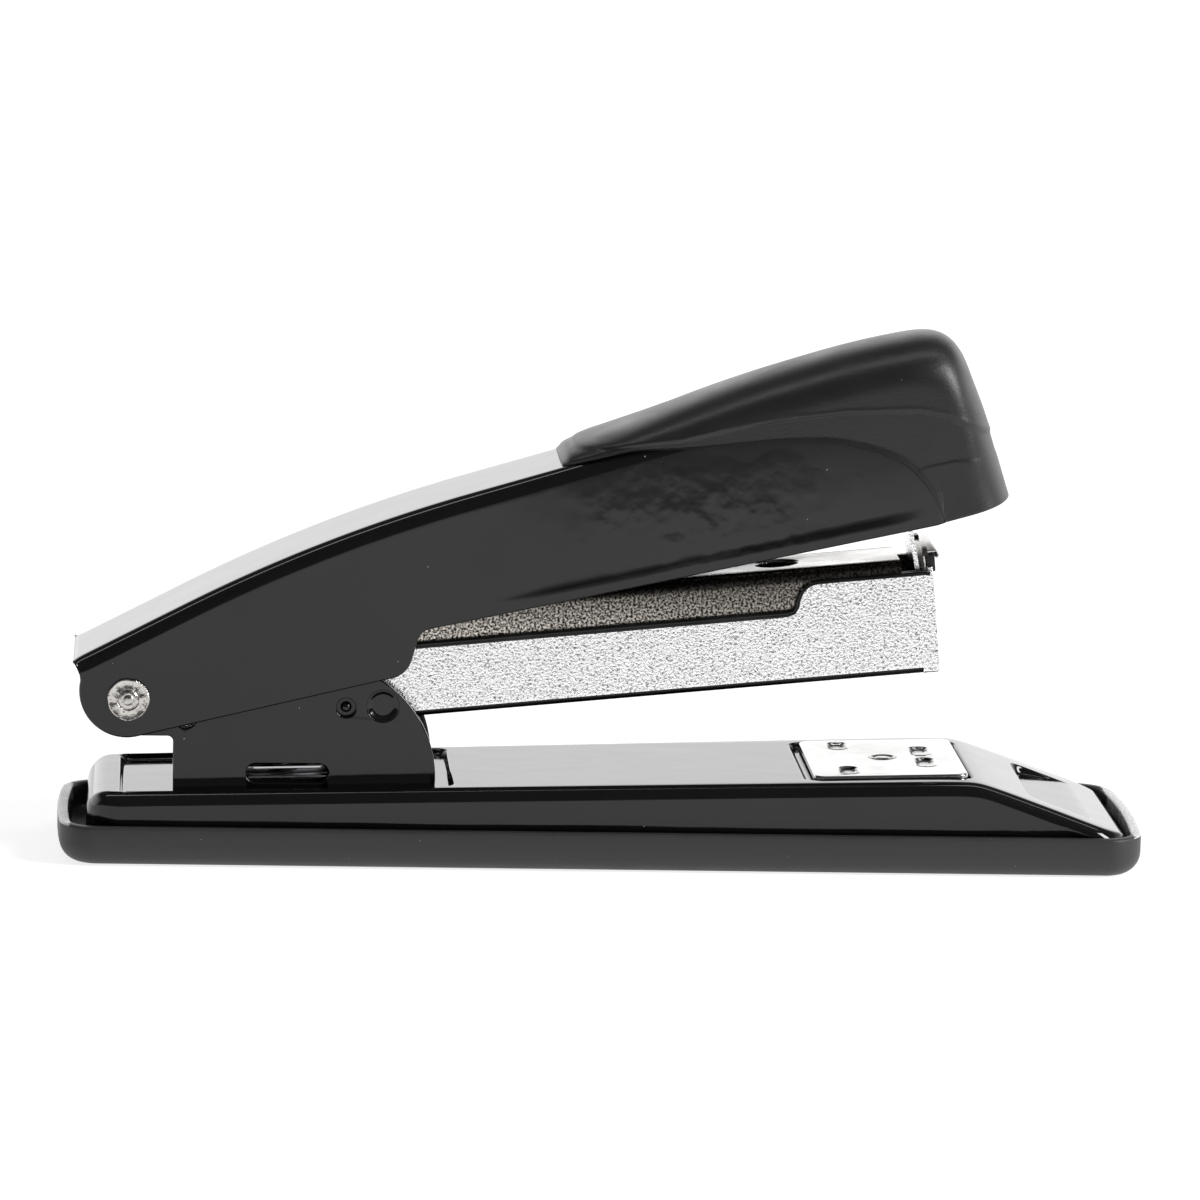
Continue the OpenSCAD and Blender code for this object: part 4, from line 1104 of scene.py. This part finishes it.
def handle_top_stations(low):
    """An x on the handle's top for each point of its lower edge: they run together, but never backwards."""
    s = lengths_along(low)
    first, bend, after = (int(np.argmax(low[:, 0] > x)) for x in (-62, -34, -20))
    xs = low[:, 0].copy()
    xs[:first] = HANDLE_REAR + (low[first, 0] - HANDLE_REAR) * s[:first] / s[first]
    share = (s[bend:after] - s[bend]) / (s[after] - s[bend])
    xs[bend:after] = low[bend, 0] + (low[after, 0] - low[bend, 0]) * share
    return np.where(xs > 20, 20 + (xs - 20) * (HANDLE_FRONT - 20) / (CHIN[0] - 20), xs)


def handle_grid(inset):
    """Points of the handle's outer skin, or of its inner skin when inset is the sheet's thickness."""
    low = handle_low_edge()
    rows = []
    for foot, tx in zip(low, handle_top_stations(low)):
        slope = math.atan((handle_top(tx + 0.05) - handle_top(tx - 0.05)) / 0.1)
        up = np.array((-math.sin(slope), math.cos(slope)))
        crown = np.array((tx, handle_top(tx)))
        top, start = crown - inset * up, crown - HANDLE_EDGE_R * up
        height = np.linalg.norm(start - foot)
        if (start - foot) @ up < 0.25:       # the rear corner is lower than the edge radius
            start = foot + 0.05 * up
        lean = HANDLE_TUCK * float(smooth(-26, 4, foot[0]))
        swell = 0.0 if inset else 0.12 * float(smooth(-22, -6, foot[0])) * float(smooth(44, 36, foot[0]))
        side = []
        for q in (0, 0.02, 0.045, 0.075, 0.11, 0.15, 0.2, 0.28, 0.38, 0.5, 0.62, 0.75, 0.88, 0.97):
            x, z = foot + (start - foot) * q
            bead = swell * float(smooth(2.2, 1.3, q * height))
            side.append((x, HANDLE_HALF_W - inset + bead - lean * q * q, z))
        for a in np.radians(np.linspace(0, 90, 12)):
            x, z = start + (top - start) * math.sin(a)
            round_in = (HANDLE_EDGE_R - inset - lean) * math.cos(a)
            side.append((x, HANDLE_HALF_W - HANDLE_EDGE_R + round_in, z))
        side += [(top[0], y, top[1]) for y in (7.5, 6, 4, 2, 0)]
        rows.append([(x, -y, z) for x, y, z in side] + [(x, y, z) for x, y, z in reversed(side[:-1])])
    return rows


form = Form().add(*shell(handle_grid(0.0), handle_grid(1.0), bulge=0.3))
piece("handle", form, BLISTERED, "handle", ["handle_shell"], sharp=45)


# ---------------------------------------------------------------- cap

# Stations from the cap's rear tip to its chin: where its side starts, and where its ridge is, in X and Z
CAP_SEAM = [(-7.0, 54.15), (-5.4, 54.65), (-2.5, 55.5), (2.1, 56.65), (7, 57.0), (12, 57.25), (17.5, 57.75),
            (22.8, 58.2), (29, 58.2), (33.2, 57.5), (36.4, 56.6), (39.2, 55.3), (41.2, 53.6), (42.7, 51.8),
            (43.8, 49.9), (44.9, 47.45)]
CAP_RIDGE = [(-7.3, 54.9), (-6.2, 56.1), (-2.6, 57.6), (2.0, 59.3), (7, 61.3), (12.2, 63.4), (17.8, 65.5),
             (23.5, 67.4), (31.0, 69.7), (37.5, 71.3), (42.3, 72.1), (45.3, 71.6), (47.4, 69.6),
             (49.2, 65.6), (51.3, 60.2), (54.6, 50.2)]
# Half width and height of the arched top, each at some of the stations
CAP_HALF_W = ([0, 1, 2, 3, 4, 6, 9, 12, 13, 14, 15],
              [7.9, 9.0, 9.9, 10.42, 10.5, 10.55, 10.6, 10.6, 10.55, 10.5, 10.45])
CAP_ARCH = ([0, 1, 3, 6, 9, 12, 15], [1.0, 2.3, 3.9, 5.6, 6.8, 7.4, 7.0])
# Lines on the side: the step below the hood, and the crease in the band
CAP_STEP = np.array([(-10, 56.0), (8.7, 58.1), (15.7, 59.75), (22.7, 61.1), (31, 62.2), (40.9, 62.6),
                     (44.7, 62.0), (50.6, 59.5), (56, 57.2)])
CAP_CREASE = np.array([(30, 51.0), (42.3, 55.0), (46, 55.9), (52.4, 56.1), (57, 56.2)])
HOOD_PROUD, CREASE_DEPTH = 0.20, 0.07
SUPERELLIPSE = 2 / 2.4


def above_line(line, x, z):
    return z - np.interp(x, line[:, 0], line[:, 1])


def through(points, shares):
    """Points on a smooth curve through the stations, at shares of their number: two such curves pair up."""
    p = np.array(points)
    p = np.vstack([2 * p[0] - p[1], p, 2 * p[-1] - p[-2]])
    out = []
    for k in shares * (len(points) - 1):
        i = min(int(k), len(points) - 2)
        out.append(catmull_rom(*p[i:i + 4], k - i))
    return np.array(out)


def with_relief(side, d, reach):
    """Moves the side's points outwards: the hood stands proud of the band, which has a faint crease."""
    up = above_line(CAP_STEP, side[:, 0], side[:, 2])
    proud = HOOD_PROUD * smooth(-0.12, 0.12, up) + 0.05 * np.exp(-((up - 0.35) / 0.3) ** 2)
    lower = above_line(CAP_CREASE, side[:, 0], side[:, 2])
    proud = proud + CREASE_DEPTH * smooth(0.15, -0.15, lower) * smooth(38, 44, side[:, 0])
    # the tangent lies in the station's plane, so the normal there is the tangent turned by a right angle
    tangent = np.gradient(side, axis=0)
    upwards = tangent[:, 0] * d[0] + tangent[:, 2] * d[1]
    outward = np.stack([-tangent[:, 1] * d[0], upwards, -tangent[:, 1] * d[1]], 1)
    outward = outward / np.maximum(np.linalg.norm(outward, axis=1)[:, None], 1e-9)
    fade = smooth(0.0, 1.2, np.arange(len(side)) * (reach / 60))
    return side + outward * ((proud - HOOD_PROUD) * fade - 0.04)[:, None]


def cap_grid(inset):
    """Points of the cap's outer skin, or of its inner skin when inset is the wall's thickness."""
    shares = np.linspace(0, 1, 300)
    low, high = through(CAP_SEAM, shares), through(CAP_RIDGE, shares)
    station = shares * (len(CAP_SEAM) - 1)
    half, arch = np.interp(station, *CAP_HALF_W), np.interp(station, *CAP_ARCH)
    rows = []
    for s, o, widest, arch_h in zip(low, high, half, arch):
        length = float(np.linalg.norm(o - s))
        d = (o - s) / length
        reach = length + 0.08 - inset
        rise = min(max(arch_h - 0.8 * inset, 0.5), reach * 0.93)
        side = []
        for rho in np.linspace(0, reach - rise, 46, endpoint=False):
            x, z = s + d * rho
            bulge = 0.36 * math.sin(math.pi * min(rho / 22, 1)) * smooth(6, 20, length)
            side.append([x, widest - inset + bulge, z])
        edge = side[-1][1]
        for a in np.radians(np.linspace(0, 90, 46)):     # the arched top
            x, z = s + d * (reach - rise + rise * math.sin(a) ** SUPERELLIPSE)
            side.append([x, edge * max(math.cos(a), 0.0) ** SUPERELLIPSE, z])
        side = np.array(side)
        if inset == 0:
            side = with_relief(side, d, reach)
        rows.append([(x, -y, z) for x, y, z in side] + [(x, y, z) for x, y, z in side[-2::-1]])
    return rows


form = Form().add(*shell(cap_grid(0.0), cap_grid(1.3), bulge=0.15))
piece("cap", form, CAP, "handle", ["nose_cap"], sharp=60)


# ---------------------------------------------------------------- carried-over CAD pieces

FINISH = {
    "bracket_rivets": STEEL, "staple_rail": ZINC, "rail_rivets": STEEL, "guide_rod": STEEL,
    "rod_clips": SPRING, "pusher": ZINC, "spring_rivets": STEEL, "cap_rivets": STEEL,
    "driver_mount": ZINC, "mount_rivets": STEEL, "driver_blade": CHROME, "driver_rivets": STEEL,
}
for name, finish in FINISH.items():
    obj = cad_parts[name]
    obj.data.materials.clear()
    obj.data.materials.append(finish)


# ---------------------------------------------------------------- floor, light and camera, in metres

FLOOR_R = 9.0
WHITE = (1, 1, 1, 1)


def floor():
    """A white table that glows at its far side."""
    bm = bmesh.new()
    bmesh.ops.create_circle(bm, cap_ends=True, radius=FLOOR_R, segments=96)
    mesh = bpy.data.meshes.new("floor")
    bm.to_mesh(mesh)
    bm.free()
    obj = bpy.data.objects.new("floor", mesh)
    bpy.context.scene.collection.objects.link(obj)
    m, tree, shader, where = nodes_of("floor_white")
    glow = ramp(tree, measure(tree, "LENGTH", where), 0.12, 0.7, 0.80, 0.99)
    # towards the camera the table ends, and the room beyond it is darker
    ahead = node(tree, "ShaderNodeSeparateXYZ", {"Vector": where}).outputs["Y"]
    glow = maths(tree, "MULTIPLY", glow, ramp(tree, ahead, -0.62, -0.34, 0.25, 1.0))
    connect(tree, shader, colour=(0.45, 0.45, 0.45, 1), rough=1.0)
    tree.links.new(glow, shader.inputs["Emission Strength"])
    shader.inputs["Emission Color"].default_value = WHITE
    shader.inputs["Specular IOR Level"].default_value = 0.0
    mesh.materials.append(m)


floor()


def softbox(name, size_x, size_y, location, target, power):
    data = bpy.data.lights.new(name, "AREA")
    data.shape, data.size, data.size_y, data.energy = "RECTANGLE", size_x, size_y, power
    obj = bpy.data.objects.new(name, data)
    obj.location = location
    obj.rotation_euler = (Vector(target) - Vector(location)).to_track_quat("-Z", "Y").to_euler()
    bpy.context.scene.collection.objects.link(obj)


softbox("top_strip", 1.2, 0.10, (0.0, 0.10, 0.80), (0, 0, 0.03), 1.6)
softbox("side_panel", 0.26, 0.40, (0.64, -0.29, 0.44), (0.05, 0, 0.06), 7.0)

# The room: a bright wall low behind the object, and darkness above it and behind the camera
WALL_GLOW, ROOM_GLOW = 1.65, 0.10
world = bpy.data.worlds.new("room")
bpy.context.scene.world = world
world.use_nodes = True
tree = world.node_tree
tree.nodes.clear()
out = tree.nodes.new("ShaderNodeOutputWorld")
view = tree.nodes.new("ShaderNodeTexCoord").outputs["Generated"]
way = node(tree, "ShaderNodeSeparateXYZ", {"Vector": view})
low_band = ramp(tree, way.outputs["Z"], 0.52, 0.26)
behind = ramp(tree, way.outputs["Y"], -0.05, 0.35)
wall = maths(tree, "MULTIPLY", maths(tree, "MULTIPLY", low_band, behind), WALL_GLOW)
room = node(tree, "ShaderNodeBackground", {"Color": WHITE, "Strength": maths(tree, "ADD", wall, ROOM_GLOW)})
tree.links.new(room.outputs[0], out.inputs[0])

CAMERA_DISTANCE, CAMERA_LENS = 0.9399, 205.8
azimuth, elevation, roll = (math.radians(a) for a in (-3.7595, 9.95, 1.225))
target = metres([(-1.11, 0, 34.43)])[0]
back = Vector((math.sin(azimuth) * math.cos(elevation), -math.cos(azimuth) * math.cos(elevation),
               math.sin(elevation)))
right = (-back).cross(Vector((0, 0, 1))).normalized()
up = right.cross(-back)
x_axis = right * math.cos(roll) + up * math.sin(roll)
y_axis = up * math.cos(roll) - right * math.sin(roll)
camera = bpy.data.cameras.new("camera")
camera.lens, camera.sensor_width = CAMERA_LENS, 36.0
camera.clip_start, camera.clip_end = 0.05, 60
holder = bpy.data.objects.new("camera", camera)
bpy.context.scene.collection.objects.link(holder)
rotation = Matrix((x_axis, y_axis, back)).transposed().to_4x4()
holder.matrix_world = Matrix.Translation(target + back * CAMERA_DISTANCE) @ rotation
bpy.context.scene.camera = holder
bpy.context.scene.view_settings.view_transform = "Standard"
